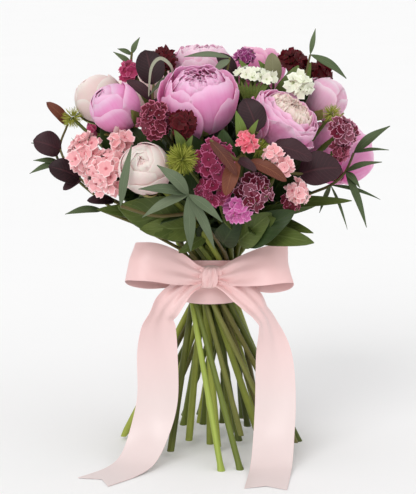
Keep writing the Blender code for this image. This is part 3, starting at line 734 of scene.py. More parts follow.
FINISHES = {finish.name: finish for finish in (
    PetalFinish("petal_orchid", (0.82, 0.11, 0.38), (0.88, 0.27, 0.53), (0.90, 0.48, 0.70),
                (0.80, 0.20, 0.46)),
    PetalFinish("petal_top", (0.82, 0.20, 0.42), (0.88, 0.40, 0.58), (0.91, 0.60, 0.73), (0.80, 0.30, 0.50)),
    PetalFinish("petal_lilac", (0.80, 0.10, 0.36), (0.86, 0.27, 0.52), (0.90, 0.50, 0.69),
                (0.66, 0.07, 0.29)),
    PetalFinish("petal_hot", (0.62, 0.05, 0.17), (0.80, 0.22, 0.44), (0.88, 0.42, 0.58), (0.66, 0.04, 0.09)),
    PetalFinish("petal_blush", (0.86, 0.38, 0.39), (0.90, 0.58, 0.57), (0.92, 0.72, 0.69),
                (0.86, 0.48, 0.47), 0.14),
    PetalFinish("petaloid_cream", (0.82, 0.26, 0.40), (0.90, 0.55, 0.52), (0.93, 0.74, 0.66),
                (0.82, 0.36, 0.44)),
    FloretFinish("floret_salmon", (0.36, 0.06, 0.09), (0.62, 0.17, 0.20), (0.79, 0.37, 0.39),
                 (0.90, 0.66, 0.66)),
    FloretFinish("floret_coral", (0.50, 0.06, 0.08), (0.70, 0.08, 0.12), (0.77, 0.13, 0.19),
                 (0.84, 0.32, 0.36)),
    FloretFinish("floret_burgundy", (0.60, 0.34, 0.40), (0.05, 0.002, 0.008), (0.10, 0.002, 0.012),
                 (0.54, 0.15, 0.24), 0.87),
    FloretFinish("floret_crimson", (0.03, 0.0, 0.001), (0.025, 0.0004, 0.0012), (0.056, 0.0006, 0.002),
                 (0.115, 0.003, 0.010), 0.8, 0.0),
    FloretFinish("floret_magenta", (0.40, 0.12, 0.20), (0.08, 0.002, 0.012), (0.19, 0.008, 0.042),
                 (0.52, 0.13, 0.26), 0.84),
    FloretFinish("floret_rose", (0.30, 0.02, 0.05), (0.22, 0.006, 0.035), (0.34, 0.02, 0.085),
                 (0.56, 0.12, 0.24)),
    FloretFinish("floret_orchid", (0.30, 0.03, 0.10), (0.42, 0.05, 0.20), (0.60, 0.13, 0.38),
                 (0.74, 0.32, 0.56)),
    FloretFinish("floret_picotee", (0.66, 0.40, 0.46), (0.05, 0.002, 0.010), (0.12, 0.003, 0.020),
                 (0.72, 0.36, 0.48), 0.86),
    FloretFinish("floret_violet", (0.40, 0.20, 0.30), (0.12, 0.006, 0.06), (0.22, 0.025, 0.13),
                 (0.52, 0.22, 0.40)),
    FloretFinish("floret_ivory", (0.05, 0.08, 0.02), (0.46, 0.52, 0.26), (0.76, 0.78, 0.62),
                 (0.84, 0.85, 0.74)),
    LeafFinish("leaf_eucalyptus", (0.075, 0.105, 0.055), (0.155, 0.19, 0.115),
               (0.26, 0.30, 0.19), 0.6, 14.0, 0.3),
    LeafFinish("leaf_eucalyptus_dark", (0.045, 0.07, 0.025), (0.11, 0.15, 0.07),
               (0.20, 0.24, 0.12), 0.55, 14.0, 0.3),
    LeafFinish("leaf_arched", (0.24, 0.25, 0.17), (0.42, 0.42, 0.32), (0.50, 0.50, 0.40), 0.6, 14.0, 0.3),
    LeafFinish("leaf_collar", (0.022, 0.045, 0.007), (0.13, 0.17, 0.04), (0.22, 0.28, 0.09), 0.42, 8.0, 0.4),
    # A dark leaf green, made near-black with painted shade for the leaves deep among the flowers.
    LeafFinish("leaf_painted_shade", (0.008, 0.017, 0.004), (0.035, 0.065, 0.014),
               (0.08, 0.12, 0.04), 0.45, 8.0, 0.35),
    LeafFinish("leaf_fresh", (0.05, 0.09, 0.012), (0.17, 0.24, 0.05), (0.28, 0.34, 0.11), 0.45, 7.0, 0.35),
    LeafFinish("leaf_olive", (0.11, 0.11, 0.05), (0.21, 0.20, 0.11), (0.28, 0.27, 0.16), 0.55, 11.0, 0.3),
    LeafFinish("leaf_smoke", (0.018, 0.007, 0.009), (0.050, 0.018, 0.024),
               (0.12, 0.035, 0.043), 0.55, 10.0, 0.35),
    LeafFinish("leaf_rust", (0.06, 0.014, 0.012), (0.22, 0.065, 0.03), (0.34, 0.14, 0.06), 0.5, 11.0, 0.4),
    LeafFinish("sepal", (0.10, 0.16, 0.03), (0.34, 0.30, 0.10), (0.40, 0.08, 0.09), 0.5, 5.0, 0.45),
    StemFinish("stem_peony", (0.30, 0.34, 0.06), (0.05, 0.06, 0.010)),
    StemFinish("stem_william", (0.15, 0.19, 0.03), (0.035, 0.040, 0.009)),
    StemFinish("stem_bright", (0.42, 0.50, 0.09), (0.12, 0.18, 0.03)),
    StemFinish("stem_branch", (0.19, 0.20, 0.05), (0.085, 0.055, 0.022)),
    PlainFinish("needle_lime", (0.16, 0.20, 0.014), (0.52, 0.52, 0.11), 160.0),
    PlainFinish("calyx_green", (0.045, 0.08, 0.012), (0.17, 0.22, 0.05), 120.0, 0.6),
    PlainFinish("head_shadow", (0.010, 0.014, 0.005), (0.030, 0.035, 0.012), 200.0),
    PlainFinish("string_twine", (0.26, 0.19, 0.10), (0.48, 0.38, 0.22), 900.0),
    SatinFinish("satin_blush", (0.73, 0.61, 0.595), (0.84, 0.53, 0.52)),
)}


@cache
def material_of(finish: str) -> bpy.types.Material:
    """The material of a finish, made when a piece first needs it."""
    return FINISHES[finish].material()


@dataclass(frozen=True)
class Spiral:
    """The way of the stems: crossing at the tie in a one-way spiral and spreading on both sides."""

    tie_height: float = 172.0
    rings: tuple = ((0.0, 1), (8.0, 6), (15.8, 14), (23.5, 20))
    first_turns: tuple = (0.0, 30.0, 0.0, 0.0)
    twist: float = 0.022
    spread: float = 0.00020
    fork_height: float = 206.0
    foot_steps: tuple = (0.0, 7.0, 0.0, 12.0, 0.0, 4.0, 16.0)
    raised_foot: float = 6.0

    def point(self, slot: Slot, height: float) -> np.ndarray:
        """Where the spiral carries a stem.

        Args:
            slot: The stem's ring and place in the tie.
            height: The height.

        Returns:
            The point.
        """
        ring, place = slot
        radius, count = self.rings[ring]
        rise = height - self.tie_height
        grow = self.twist * rise + (self.spread * rise * rise if rise > 0 else 0.0)
        angle = math.radians(self.first_turns[ring] + 360.0 * place / count) - math.atan(grow)
        reach = radius * math.sqrt(1 + grow * grow)
        return np.array((reach * math.cos(angle), reach * math.sin(angle), height))

    def towards(self, slot: Slot, target: np.ndarray, height: float) -> np.ndarray:
        """Where a stem that ends at a target is at a height.

        Args:
            slot: The stem's ring and place in the tie.
            target: Where it ends.
            height: The height.

        Returns:
            The point.
        """
        drift = target - self.point(slot, target[2])
        rise = max(height - self.tie_height, 0.0) / (target[2] - self.tie_height)
        return self.point(slot, height) + drift * rise ** 2

    def foot(self, slot: Slot) -> float:
        """The height of a stem's cut end: the centre stem and the even outer ones reach the surface.

        Args:
            slot: The stem's ring and place in the tie.

        Returns:
            The height.
        """
        ring, place = slot[0], int(slot[1])
        if ring == 0:
            return 0.0
        if ring == len(self.rings) - 1:
            return self.foot_steps[place % len(self.foot_steps)] if place % 2 else 0.0
        return self.raised_foot + self.foot_steps[(place * 2 + ring) % len(self.foot_steps)]

    def line(self, slot: Slot, target: Sequence[float], steps: int = 40) -> np.ndarray:
        """The middle of a stem from its cut end to its target.

        Args:
            slot: The stem's ring and place in the tie.
            target: Where it ends.
            steps: How many steps it takes.

        Returns:
            Its points, one a row.
        """
        target = np.asarray(target, dtype=float)
        heights = np.linspace(self.foot(slot), target[2], steps + 1)
        return np.array([self.towards(slot, target, height) for height in heights])


SPIRAL = Spiral()


def standing_stem(slot: Slot, line: np.ndarray, radii: Sequence[float], sides: int) -> Piece:
    """A stem with its foot cut level, so that it stands on its whole face.

    Args:
        slot: Its ring and place in the tie.
        line: The points of its middle.
        radii: Its radius at each point.
        sides: How many faces it has round it.

    Returns:
        A tube that isn't sealed yet.
    """
    stem = roll("stem", line, radii, sides)
    level = SPIRAL.foot(slot)
    for vertex in stem.data.vertices:
        if vertex.co.z < (level + FOOT_DEPTH) * MM:
            vertex.co.z = level * MM
    return stem


@dataclass(frozen=True)
class Leaf:
    """One leaf, from its base to its tip."""

    base: Point
    tip: Point
    width: float
    # A leaf is by default dark green, made near-black with painted shade.
    finish: str = "leaf_painted_shade"
    facing: Point = (0, -0.8, 0.6)
    form: LeafForm = LeafForm.OVATE
    arch: float = 0.12
    fold: float = 0.18
    twist: float = 0.0
    wave: float = 0.02

    def make(self, grid: Piece, tint: float) -> Piece:
        """The leaf as an open sheet in its finish.

        Args:
            grid: The flat grid that it is copied from.
            tint: Its own tint.

        Returns:
            The sheet.
        """
        base, tip = np.asarray(self.base, dtype=float), np.asarray(self.tip, dtype=float)
        length = float(np.linalg.norm(tip - base))
        normal, side, along = frame_along(tip - base, self.facing)
        bulge, power = self.form.value
        sheet = twin(grid)
        u, v = shares(sheet)
        half = self.width / 2 * np.maximum(np.sin(math.pi * v ** bulge).clip(0, 1) ** power, 0.05)
        turn = self.twist * v
        out = side * np.cos(turn)[:, None] + normal * np.sin(turn)[:, None]
        up = normal * np.cos(turn)[:, None] - side * np.sin(turn)[:, None]
        ripple = self.wave * self.width * np.sin(9 * v + 2 * u) * np.abs(u)
        lift = self.fold * half * np.abs(u) ** 1.3 + ripple
        rise = self.arch * length * np.sin(math.pi * v)
        rib = base + along * (length * v)[:, None] + normal * rise[:, None]
        shape(sheet, rib + out * (u * half)[:, None] + up * lift[:, None])
        return dress(sheet, self.finish, tint)


def collar_leaf(slot: Slot, top: np.ndarray, row: tuple[float, Point, float], wave: float) -> Leaf:
    """A broad low leaf on a stem, which faces to the front or the back, whichever its tip is on.

    Args:
        slot: The stem's ring and place in the tie.
        top: Where the stem ends.
        row: The height where the leaf starts, its tip and its width.
        wave: How wavy its edge is.

    Returns:
        The leaf.
    """
    height, tip, width = row
    facing = (0.0, -1.0 if tip[1] < 0 else 1.0, 0.25)
    base = tuple(SPIRAL.towards(slot, top, height))
    return Leaf(base, tip, width, "leaf_collar", facing, arch=0.04, wave=wave)


def inner_leaves(line: np.ndarray, dice: Dice, size: Point) -> list[Piece]:
    """Pairs of small leaves at the joints of a stem above the tie, each pair turned from the last, in the
    Leaf's default dark green made near-black with painted shade.

    Args:
        line: The stem's points.
        dice: The stem's own random numbers.
        size: The leaves' length and width, and the height between two joints.

    Returns:
        The open sheets.
    """
    length, width, spacing = size
    grid = add_grid("small_leaf_grid", 4, 7)
    leaves = []
    turn = dice.uniform(0, math.pi)
    for height in np.arange(LOWEST_JOINT, line[-1][2] - TOP_WITHOUT_LEAVES, spacing):
        i = int(np.abs(line[:, 2] - height).argmin())
        way = unit(line[min(i + 1, len(line) - 1)] - line[i - 1])
        first, second, _ = frame_along(way, (1, 0, 0))
        for k in range(2):
            out = around(first, second, turn + math.pi * k)
            tip = line[i] + unit(way + out * dice.uniform(0.6, 1.1)) * length * dice.uniform(0.7, 1.1)
            wide = width * dice.uniform(0.8, 1.1)
            leaf = Leaf(tuple(line[i]), tuple(tip), wide, facing=tuple(way), form=LeafForm.LANCE, wave=0.05)
            leaves.append(leaf.make(grid, dice.uniform(0, 0.9)))
        turn += math.pi / 2 + dice.uniform(-0.3, 0.3)
    bpy.data.objects.remove(grid)
    return leaves


@dataclass(frozen=True)
class PetalRing:
    """A ring of petals round a bloom: how many, how far each reaches, and how it curls."""

    count: int
    reach: float
    half_width: float
    size: float
    flare: float
    ruffle: float
    tint: float = 0.8
    point: float = 0.0


BLOOM_RINGS = {
    BloomForm.BUD: (
        PetalRing(3, 3.10, 1.25, 0.97, 0.00, 0.006, 0.75),
        PetalRing(3, 3.04, 1.25, 1.01, 0.00, 0.008, 0.80),
        PetalRing(3, 2.94, 1.22, 1.05, 0.00, 0.010, 0.85),
        PetalRing(3, 2.72, 1.15, 1.10, 0.00, 0.012, 0.95),
        PetalRing(3, 2.20, 1.00, 1.15, 0.01, 0.014, 0.90),
    ),
    BloomForm.CUP: (
        PetalRing(5, 3.16, 0.90, 0.76, 0.00, 0.10, 0.80),
        PetalRing(6, 3.04, 0.80, 0.82, 0.00, 0.13, 0.80),
        PetalRing(6, 2.92, 0.74, 0.88, 0.01, 0.13, 0.85),
        PetalRing(7, 2.84, 0.66, 0.94, 0.03, 0.13, 0.90),
        PetalRing(6, 2.74, 0.72, 1.01, 0.05, 0.11, 0.95),
        PetalRing(5, 2.60, 0.84, 1.10, 0.08, 0.08, 1.00),
        PetalRing(4, 2.42, 0.92, 1.19, 0.13, 0.06, 0.90),
        PetalRing(4, 2.05, 0.72, 1.27, 0.18, 0.05, 0.85),
    ),
    BloomForm.OPEN: (
        PetalRing(5, 2.46, 0.76, 0.96, 0.04, 0.08, 0.42),
        PetalRing(5, 2.26, 0.90, 1.06, 0.08, 0.05, 0.50),
        PetalRing(4, 2.14, 1.10, 1.15, 0.12, 0.04, 0.95),
        PetalRing(4, 2.04, 1.15, 1.22, 0.16, 0.035, 1.00),
        PetalRing(3, 1.90, 1.10, 1.28, 0.20, 0.04, 0.95),
        PetalRing(3, 1.62, 0.90, 1.32, 0.24, 0.05, 0.90),
    ),
}
BLOOM_HEARTS = {BloomForm.BUD: 0.92, BloomForm.CUP: 0.72, BloomForm.OPEN: 0.62}


@dataclass(frozen=True)
class Peony:
    """One peony: its bloom, and its stem with sepals and leaves."""

    name: str
    middle: Point
    radius: float
    facing: Point
    opening: float
    slot: Slot
    form: BloomForm
    finish: str
    collar_leaves: tuple = ()
    petaloids: int = 0
    gaze: Point | None = None
    sepal_way: Point = (0, 0, 1)
    stem_radius: float = 3.3
    gap: float = 0.4
    petal_root: float = 0.42
    petal_thickness: float = 0.4
    leaf_thickness: float = 0.7
    inner_leaf_size: Point = (46.0, 24.0, 16.0)

    @property
    def core(self) -> float:
        """The radius of the ball that the inner petals fill."""
        return self.radius * (0.9 - 0.2 * self.opening) - 1.5

    @property
    def base(self) -> np.ndarray:
        """Where the stem meets the bloom."""
        return np.asarray(self.middle, dtype=float) - unit(self.facing) * (self.core + self.gap)

    @property
    def axes(self) -> tuple:
        """The bloom's two axes across, and the one that its petals close over."""
        return frame_along(self.gaze or self.facing, (0.31, 0.57, 0.76))

    @property
    def inner_finish(self) -> str:
        """The finish of the innermost petals."""
        return "petaloid_cream" if self.petaloids else self.finish

    def on_ball(self, azimuth: np.ndarray, polar: np.ndarray, reach: np.ndarray) -> np.ndarray:
        """Points round the middle of the bloom.

        Args:
            azimuth: Their turns round its axis.
            polar: Their angles from the stem's end of that axis.
            reach: How far they are from the middle.

        Returns:
            The points, one a row.
        """
        across, side, along = self.axes
        out = np.outer(np.cos(azimuth), across) + np.outer(np.sin(azimuth), side)
        way = out * np.sin(polar)[:, None] - along * np.cos(polar)[:, None]
        return np.asarray(self.middle) + way * reach[:, None]

    def petal(self, grid: Piece, ring: PetalRing, turn: float, dice: Dice) -> Piece:
        """One cupped petal of a ring, each a little different.

        Args:
            grid: The flat grid that it is copied from.
            ring: Its ring.
            turn: Its place round the bloom.
            dice: The bloom's own random numbers.

        Returns:
            The petal as an open sheet.
        """
        reach = ring.reach - dice.uniform(0, 0.14)
        wide = ring.half_width * dice.uniform(0.92, 1.08)
        size = self.core * ring.size * dice.uniform(0.98, 1.02)
        flare = self.core * ring.flare * dice.uniform(0.7, 1.3)
        waves = [dice.uniform(0, 2 * math.pi) for _ in range(4)]
        notch = dice.choice((0.0, 0.05, 0.10)) * min(1.0, ring.ruffle * 20)
        curl = self.core * 0.05 * dice.uniform(-0.6, 1.0)
        sheet = twin(grid)
        u, v = shares(sheet)
        round_off = 0.15 * np.abs(u) ** 3.2 * v + notch * np.exp(-(u / 0.16) ** 2) * v ** 5
        teeth = ring.ruffle * 0.7 * (np.sin(7 * u + waves[0]) + 0.6 * np.sin(14 * u + waves[1])) * v ** 5
        polar = self.petal_root + (reach - self.petal_root) * v * (1 - round_off) + teeth
        spread = wide * (0.34 + 1.25 * v - 0.70 * v ** 3) * (1 - ring.point * v ** 2)
        azimuth = turn + u * spread / np.maximum(np.sin(np.minimum(polar, 2.35)), 0.42)
        cup = self.core * (0.035 * u - 0.05 * u * u * v)
        ruffle = self.core * ring.ruffle * 0.6 * (np.sin(5 * u + waves[2]) + 0.5 * np.sin(11 * u + waves[3]))
        bulge = size + flare * v * v + curl * v ** 6 + cup + ruffle * v ** 1.6
        return shape(sheet, self.on_ball(azimuth, polar, bulge))

    def fringe(self, dice: Dice) -> list[Piece]:
        """The narrow cream petaloids in the middle of an open bloom.

        Args:
            dice: The bloom's own random numbers.

        Returns:
            The open sheets.
        """
        grid = add_grid("petaloid_grid", 4, 8)
        parts = []
        for i in range(self.petaloids):
            share = (i + 0.5) / self.petaloids
            ring = PetalRing(1, 2.98 - 0.62 * share, 0.17, 0.66 + 0.36 * share, 0.04, 0.10)
            part = self.petal(grid, ring, i * GOLDEN_ANGLE, dice)
            parts.append(dress(part, "petaloid_cream", dice.uniform(0.5, 1.0)))
        bpy.data.objects.remove(grid)
        return parts

    def heart(self) -> Piece:
        """The tightly wound petals that the outer ones close over, as one folded ball.

        Returns:
            The closed ball.
        """
        ball = add_grid("heart", 30, 16)
        u, v = shares(ball)
        azimuth, polar = math.pi * (u + 1), math.pi * v
        folds = 1 + 0.06 * np.sin(5 * azimuth + 7 * polar) + 0.03 * np.sin(9 * azimuth - 4 * polar)
        return seal([shape(ball, self.on_ball(azimuth, polar, self.core * BLOOM_HEARTS[self.form] * folds))])

    def make_bloom(self) -> None:
        """All the petals as one piece, in place of the bloom's CAD node."""
        dice = Dice(self.name)
        grid = add_grid("petal_grid", 16, 11)
        petals = []
        for place, ring in enumerate(BLOOM_RINGS[self.form]):
            finish = self.finish if place else self.inner_finish
            first = dice.uniform(0, 2 * math.pi)
            for i in range(ring.count):
                turn = first + 2 * math.pi * (i + dice.uniform(-0.1, 0.1)) / ring.count
                petal = self.petal(grid, ring, turn, dice)
                petals.append(dress(petal, finish, ring.tint * dice.uniform(0.8, 1.1)))
        bpy.data.objects.remove(grid)
        petals += self.fringe(dice)
        heart = dress(self.heart(), self.inner_finish, 0.55)
        parts = [thicken(petals, self.petal_thickness), heart]
        hand_in(self.name + "_bloom", parts, self.name + "_petals")

    def sepals(self, grid: Piece, dice: Dice) -> list[Piece]:
        """The four pointed sepals under the bloom, turn about long and short.

        Args:
            grid: The flat grid that they are copied from.
            dice: The stem's own random numbers.

        Returns:
            The open sheets.
        """
        across, side, _ = self.axes
        first = math.atan2(np.dot(self.sepal_way, side), np.dot(self.sepal_way, across))
        longest = 1.60 if self.form is BloomForm.BUD else 1.30
        sepals = []
        for k in range(4):
            ring = PetalRing(1, longest - 0.30 * (k % 2), 0.36, 1.22, 0.02, 0.01, point=0.85)
            turn = first + math.pi * k / 2 + dice.uniform(-0.2, 0.2)
            sepals.append(dress(self.petal(grid, ring, turn, dice), "sepal", dice.uniform(0.2, 0.9)))
        return sepals

    def make_stem(self) -> None:
        """The stem, its cup, the sepals and the leaves as one piece."""
        dice = Dice(self.name + "stem")
        axis = unit(self.facing)
        top = self.base - axis * 3
        line = SPIRAL.line(self.slot, top)
        rise = np.linspace(0, 1, len(line))
        radii = self.stem_radius * (1.12 - 0.36 * rise) * (1 + 0.03 * np.sin(17 * rise + dice.uniform(0, 6)))
        cup_line = [self.base - axis * (5.5 - 1.4 * k) for k in range(5)]
        cup = roll("cup", cup_line, (2.4, 3.4, 4.8, 5.6, 5.2), 10)
        tubes = [standing_stem(self.slot, line, radii, 10), cup]
        tint = dice.uniform(0.1, 0.9)
        stem = seal([dress(tube, "stem_peony", tint) for tube in tubes])
        grid = add_grid("leaf_grid", 6, 12)
        blades = self.sepals(grid, dice)
        for row in self.collar_leaves:
            leaf = collar_leaf(self.slot, top, row, wave=0.04)
            blades.append(leaf.make(grid, dice.uniform(0.3, 0.9)))
        bpy.data.objects.remove(grid)
        blades += inner_leaves(line, dice, self.inner_leaf_size)
        parts = [stem, thicken(blades, self.leaf_thickness)]
        hand_in(self.name + "_stalk", parts, self.name + "_stem")


@dataclass(frozen=True)
class Head:
    """One domed head of florets, or a lime tuft where florets is 0."""

    middle: Point
    radius: float
    facing: Point
    florets: int
    floret_radius: float = 7.5
    flatness: float = 0.75
    finish: str = ""

    def places(self, dice: Dice) -> list[tuple[np.ndarray, np.ndarray, float]]:
        """Where each floret sits, which way it faces and its turn.

        Args:
            dice: The head's own random numbers.

        Returns:
            One entry a floret.
        """
        count = self.florets * FLORETS_PER_SOLID
        across, side, along = frame_along(self.facing, (0.2, 0.4, 0.9))
        lowest = -0.20 if self.flatness > 0.5 else 0.15
        reach = self.radius - self.floret_radius * 0.25
        found = []
        for i in range(count):
            height = 1 - (1 - lowest) * (i + 0.5) / count
            angle = i * GOLDEN_ANGLE + dice.uniform(-0.2, 0.2)
            out = around(across, side, angle) * math.sqrt(1 - height * height)
            lift = reach * dice.uniform(0.86, 1.10)
            at = np.asarray(self.middle) + out * lift * 0.86 + along * height * lift * self.flatness
            way = shaken(out * 0.95 + along * (height + 0.25), dice, 0.42)
            found.append((at, way, angle + dice.uniform(0, 2)))
        return found

    @property
    def base(self) -> np.ndarray:
        """Where the stem meets the underside of the head, or the middle of a tuft."""
        drop = self.radius * 0.62 * self.flatness + 0.4 if self.florets else 0.0
        return np.asarray(self.middle, dtype=float) - unit(self.facing) * drop


def seat(at: np.ndarray, way: np.ndarray, turn: float, size: float) -> Matrix:
    """The matrix for a small template at a place in millimetres: its +Z along a way, turned and scaled."""
    spin = Vector(way).to_track_quat("Z", "Y").to_matrix().to_4x4() @ Matrix.Rotation(turn, 4, "Z")
    return Matrix.Translation(Vector(at) * MM) @ spin @ Matrix.Scale(size, 4)


def planted(template: Piece, at: np.ndarray, way: np.ndarray, turn: float, size: float) -> Piece:
    """A copy of a small template in its place."""
    return twin(template, seat(at, way, turn, size))


class FloretKit:
    """The small shapes that repeat on every sweet william, each modelled once, 1 mm in radius."""

    def __init__(self) -> None:
        """Makes the templates."""
        self.florets = [self.floret(seed) for seed in range(7)]
        calyx = ((0, 0, -1.25), (0, 0, -0.9), (0, 0, -0.45), (0, 0, -0.10))
        self.calyx = seal([roll("calyx", calyx, (0.10, 0.17, 0.20, 0.22), 6)])
        needle = ((0, 0, 0), (0.03, 0, 0.45), (0.10, 0, 0.8), (0.16, 0, 1.0))
        self.needle = seal([roll("needle", needle, (0.020, 0.034, 0.024, 0.006), 3)])

    def floret(self, seed: int) -> Piece:
        """Five fringed petals round an eye, as one closed shape of a few dozen faces.

        Args:
            seed: Which of the variants it is.

        Returns:
            The template.
        """
        dice = Dice(seed)
        cup = dice.uniform(-0.22, 0.34)
        lifts = np.array([dice.uniform(-0.14, 0.14) for _ in range(5)])
        reaches = np.array([dice.uniform(0.86, 1.06) for _ in range(5)])
        ragged = np.array([dice.uniform(-0.07, 0.07) for _ in range(20)])
        spot_reach = np.array((0.76, 1.00, 0.92, 1.00))
        spot_rise = np.array((-0.10, 0.02, 0.08, 0.16))
        ring_reach = np.array((0.0, 0.24, 0.66, 1.0, 0.0))
        ring_fringe = np.array((0.0, 0.0, 0.55, 1.0, 0.0))
        template = add_grid("floret", 20, 4)
        u, v = shares(template)
        step, ring = np.rint((u + 1) * 10).astype(int) % 20, row_of(v, 5)
        petal, spot, share = step // 4, step % 4, ring_reach[ring]
        turn = 2 * math.pi * step / 20
        reach = share * reaches[petal] * (1 - ring_fringe[ring] * (1 - spot_reach[spot] - ragged[step]))
        rise = cup * share ** 2 + (lifts[petal] + spot_rise[spot]) * share ** 1.5
        rise = np.where(ring == 4, -0.42, np.where(ring == 0, -0.10, rise))
        return seal([shape(template, np.stack([reach * np.cos(turn), reach * np.sin(turn), rise], axis=1))])

    def clear(self) -> None:
        """Removes the templates."""
        for template in (*self.florets, self.calyx, self.needle):
            bpy.data.objects.remove(template)


@dataclass(frozen=True)
class Spray:
    """A sweet william: its stems, its heads by node name, and its leaves."""

    name: str
    slots: tuple
    heads: dict
    finishes: dict
    collar_leaves: tuple = ()
    free_leaves: tuple = ()
    bright_stem: int = -1
    stem_radius: float = 2.8
    leaf_thickness: float = 0.6
    inner_leaf_size: Point = (38.0, 14.0, 12.0)

    def make_heads(self, kit: FloretKit) -> list[Piece]:
        """Each group of florets as one piece.

        Args:
            kit: The small templates.

        Returns:
            The tufts, and the green calyxes and bracts and the dark balls of painted shade inside the heads,
            for the stems' piece.
        """
        dice = Dice(self.name)
        green = []
        for node, heads in self.heads.items():
            florets = []
            for head in heads:
                if not head.florets:
                    green += self.tuft(head, kit, dice)
                    continue
                finish = head.finish or self.finishes[node]
                for at, way, turn in head.places(dice):
                    size = head.floret_radius * dice.uniform(0.80, 1.10)
                    floret = planted(dice.choice(kit.florets), at, way, turn, size)
                    florets.append(dress(floret, finish, dice.uniform(0, 1)))
                    calyx = planted(kit.calyx, at, way, turn, size)
                    green.append(dress(calyx, "calyx_green", dice.uniform(0.2, 0.9)))
                    below = at - way * size * 1.15
                    for _ in range(2):
                        lean = shaken(way, dice, 0.5)
                        bract = planted(kit.needle, below, lean, turn, size * dice.uniform(1.2, 1.6))
                        green.append(dress(bract, "calyx_green", dice.uniform(0.4, 1.0)))
                # A dark ball of painted shade fills the middle of the head.
                green.append(self.heart(head))
            if florets:
                hand_in(node + "_blossom", florets, node)
        return green

    def heart(self, head: Head) -> Piece:
        """A dark ball of painted shade in the middle of a head, where its short stalks meet.

        Args:
            head: The head.

        Returns:
            A bumpy closed ball.
        """
        clear_selection()
        bpy.ops.mesh.primitive_ico_sphere_add(subdivisions=3, radius=1)
        ball = bpy.context.active_object
        for vertex in ball.data.vertices:
            x, y, z = vertex.co
            vertex.co = vertex.co * (1 + 0.10 * math.sin(11 * x) * math.sin(9 * y + 2) * math.sin(10 * z))
        size = head.radius * 0.60 * MM
        ball.data.transform(Matrix.Diagonal((size, size, size * head.flatness, 1)))
        ball.data.transform(seat(head.middle, head.facing, 0.0, 1.0))
        return dress(ball, "head_shadow")

    def tuft(self, head: Head, kit: FloretKit, dice: Dice) -> list[Piece]:
        """A lime ball of fine needles.

        Args:
            head: Its place and size.
            kit: The small templates.
            dice: The spray's own random numbers.

        Returns:
            The needles.
        """
        across, side, along = frame_along(head.facing)
        count = int(head.radius * head.radius * 2.2)
        needles = []
        for i in range(count):
            height = 1 - 1.85 * (i + 0.5) / count
            out = around(across, side, i * GOLDEN_ANGLE) * math.sqrt(1 - height * height)
            way = shaken(out + along * height, dice, 0.45)
            at = np.asarray(head.middle) + way * head.radius * 0.25
            turn = dice.uniform(0, 6)
            needle = planted(kit.needle, at, way, turn, head.radius * dice.uniform(0.7, 0.95))
            needles.append(dress(needle, "needle_lime", dice.uniform(0, 1)))
        return needles

    def collar(self, head: Head) -> Piece:
        """The green funnel under a head, where its stem widens.

        Args:
            head: The head.

        Returns:
            A tube that isn't sealed yet.
        """
        along = unit(head.facing)
        line = [head.base + along * (k - 5) for k in (0, 2, 4, 6)]
        radii = (1.6, 0.16 * head.radius, 0.28 * head.radius, 0.40 * head.radius)
        return dress(roll("collar", line, radii, 9), "calyx_green")

    def side_stem(self, slot: Slot, top: np.ndarray, head: Head) -> Piece:
        """The stem of a head that forks off another head's stem.

        Args:
            slot: The main stem's ring and place in the tie.
            top: Where the main stem ends.
            head: The head that the side stem carries.

        Returns:
            A tube that isn't sealed yet.
        """
        fork = SPIRAL.towards(slot, top, SPIRAL.fork_height)
        way = unit(SPIRAL.towards(slot, top, SPIRAL.fork_height + 12) - fork)
        middle = (fork + head.base) / 2 + way * np.linalg.norm(head.base - fork) * 0.12
        line = smooth_line([fork - way * 3, fork + way * 6, middle, head.base], 5)
        return dress(roll("side_stem", line, np.linspace(2.1, 1.7, len(line)), 7), "stem_william")

    def make(self, kit: FloretKit) -> None:
        """The heads, then the stems with calyxes, bracts, tufts and leaves as one piece.

        Args:
            kit: The small templates.
        """
        green = self.make_heads(kit)
        dice = Dice(self.name + "stem")
        heads = [head for group in self.heads.values() for head in group]
        stems = [(slot, head.base) for slot, head in zip(self.slots, heads)]
        tubes, blades = [], []
        for place, (slot, top) in enumerate(stems):
            line = SPIRAL.line(slot, top, 48)
            rise = np.linspace(0, 1, len(line))
            joints = np.exp(-((rise * 5.2 + 0.5) % 1 - 0.5) ** 2 / 0.0016)
            stem = standing_stem(slot, line, self.stem_radius * (1.12 - 0.32 * rise + 0.32 * joints), 9)
            finish = "stem_bright" if place == self.bright_stem else "stem_william"
            tubes.append(dress(stem, finish, dice.uniform(0.1, 0.9)))
            blades += inner_leaves(line, dice, self.inner_leaf_size)
        tubes += [self.side_stem(*stems[-1], head) for head in heads[len(stems):]]
        tubes += [self.collar(head) for head in heads if head.florets]
        grid = add_grid("leaf_grid", 6, 12)
        for i, row in enumerate(self.collar_leaves):
            leaf = collar_leaf(*stems[i % len(stems)], row, wave=0.03)
            blades.append(leaf.make(grid, dice.uniform(0.1, 0.7)))
        for leaf in self.free_leaves:
            blades.append(leaf.make(grid, dice.uniform(0.3, 0.9)))
        bpy.data.objects.remove(grid)
        parts = [seal(tubes), *green, thicken(blades, self.leaf_thickness)]
        hand_in(self.name + "_stalk", parts, self.name)


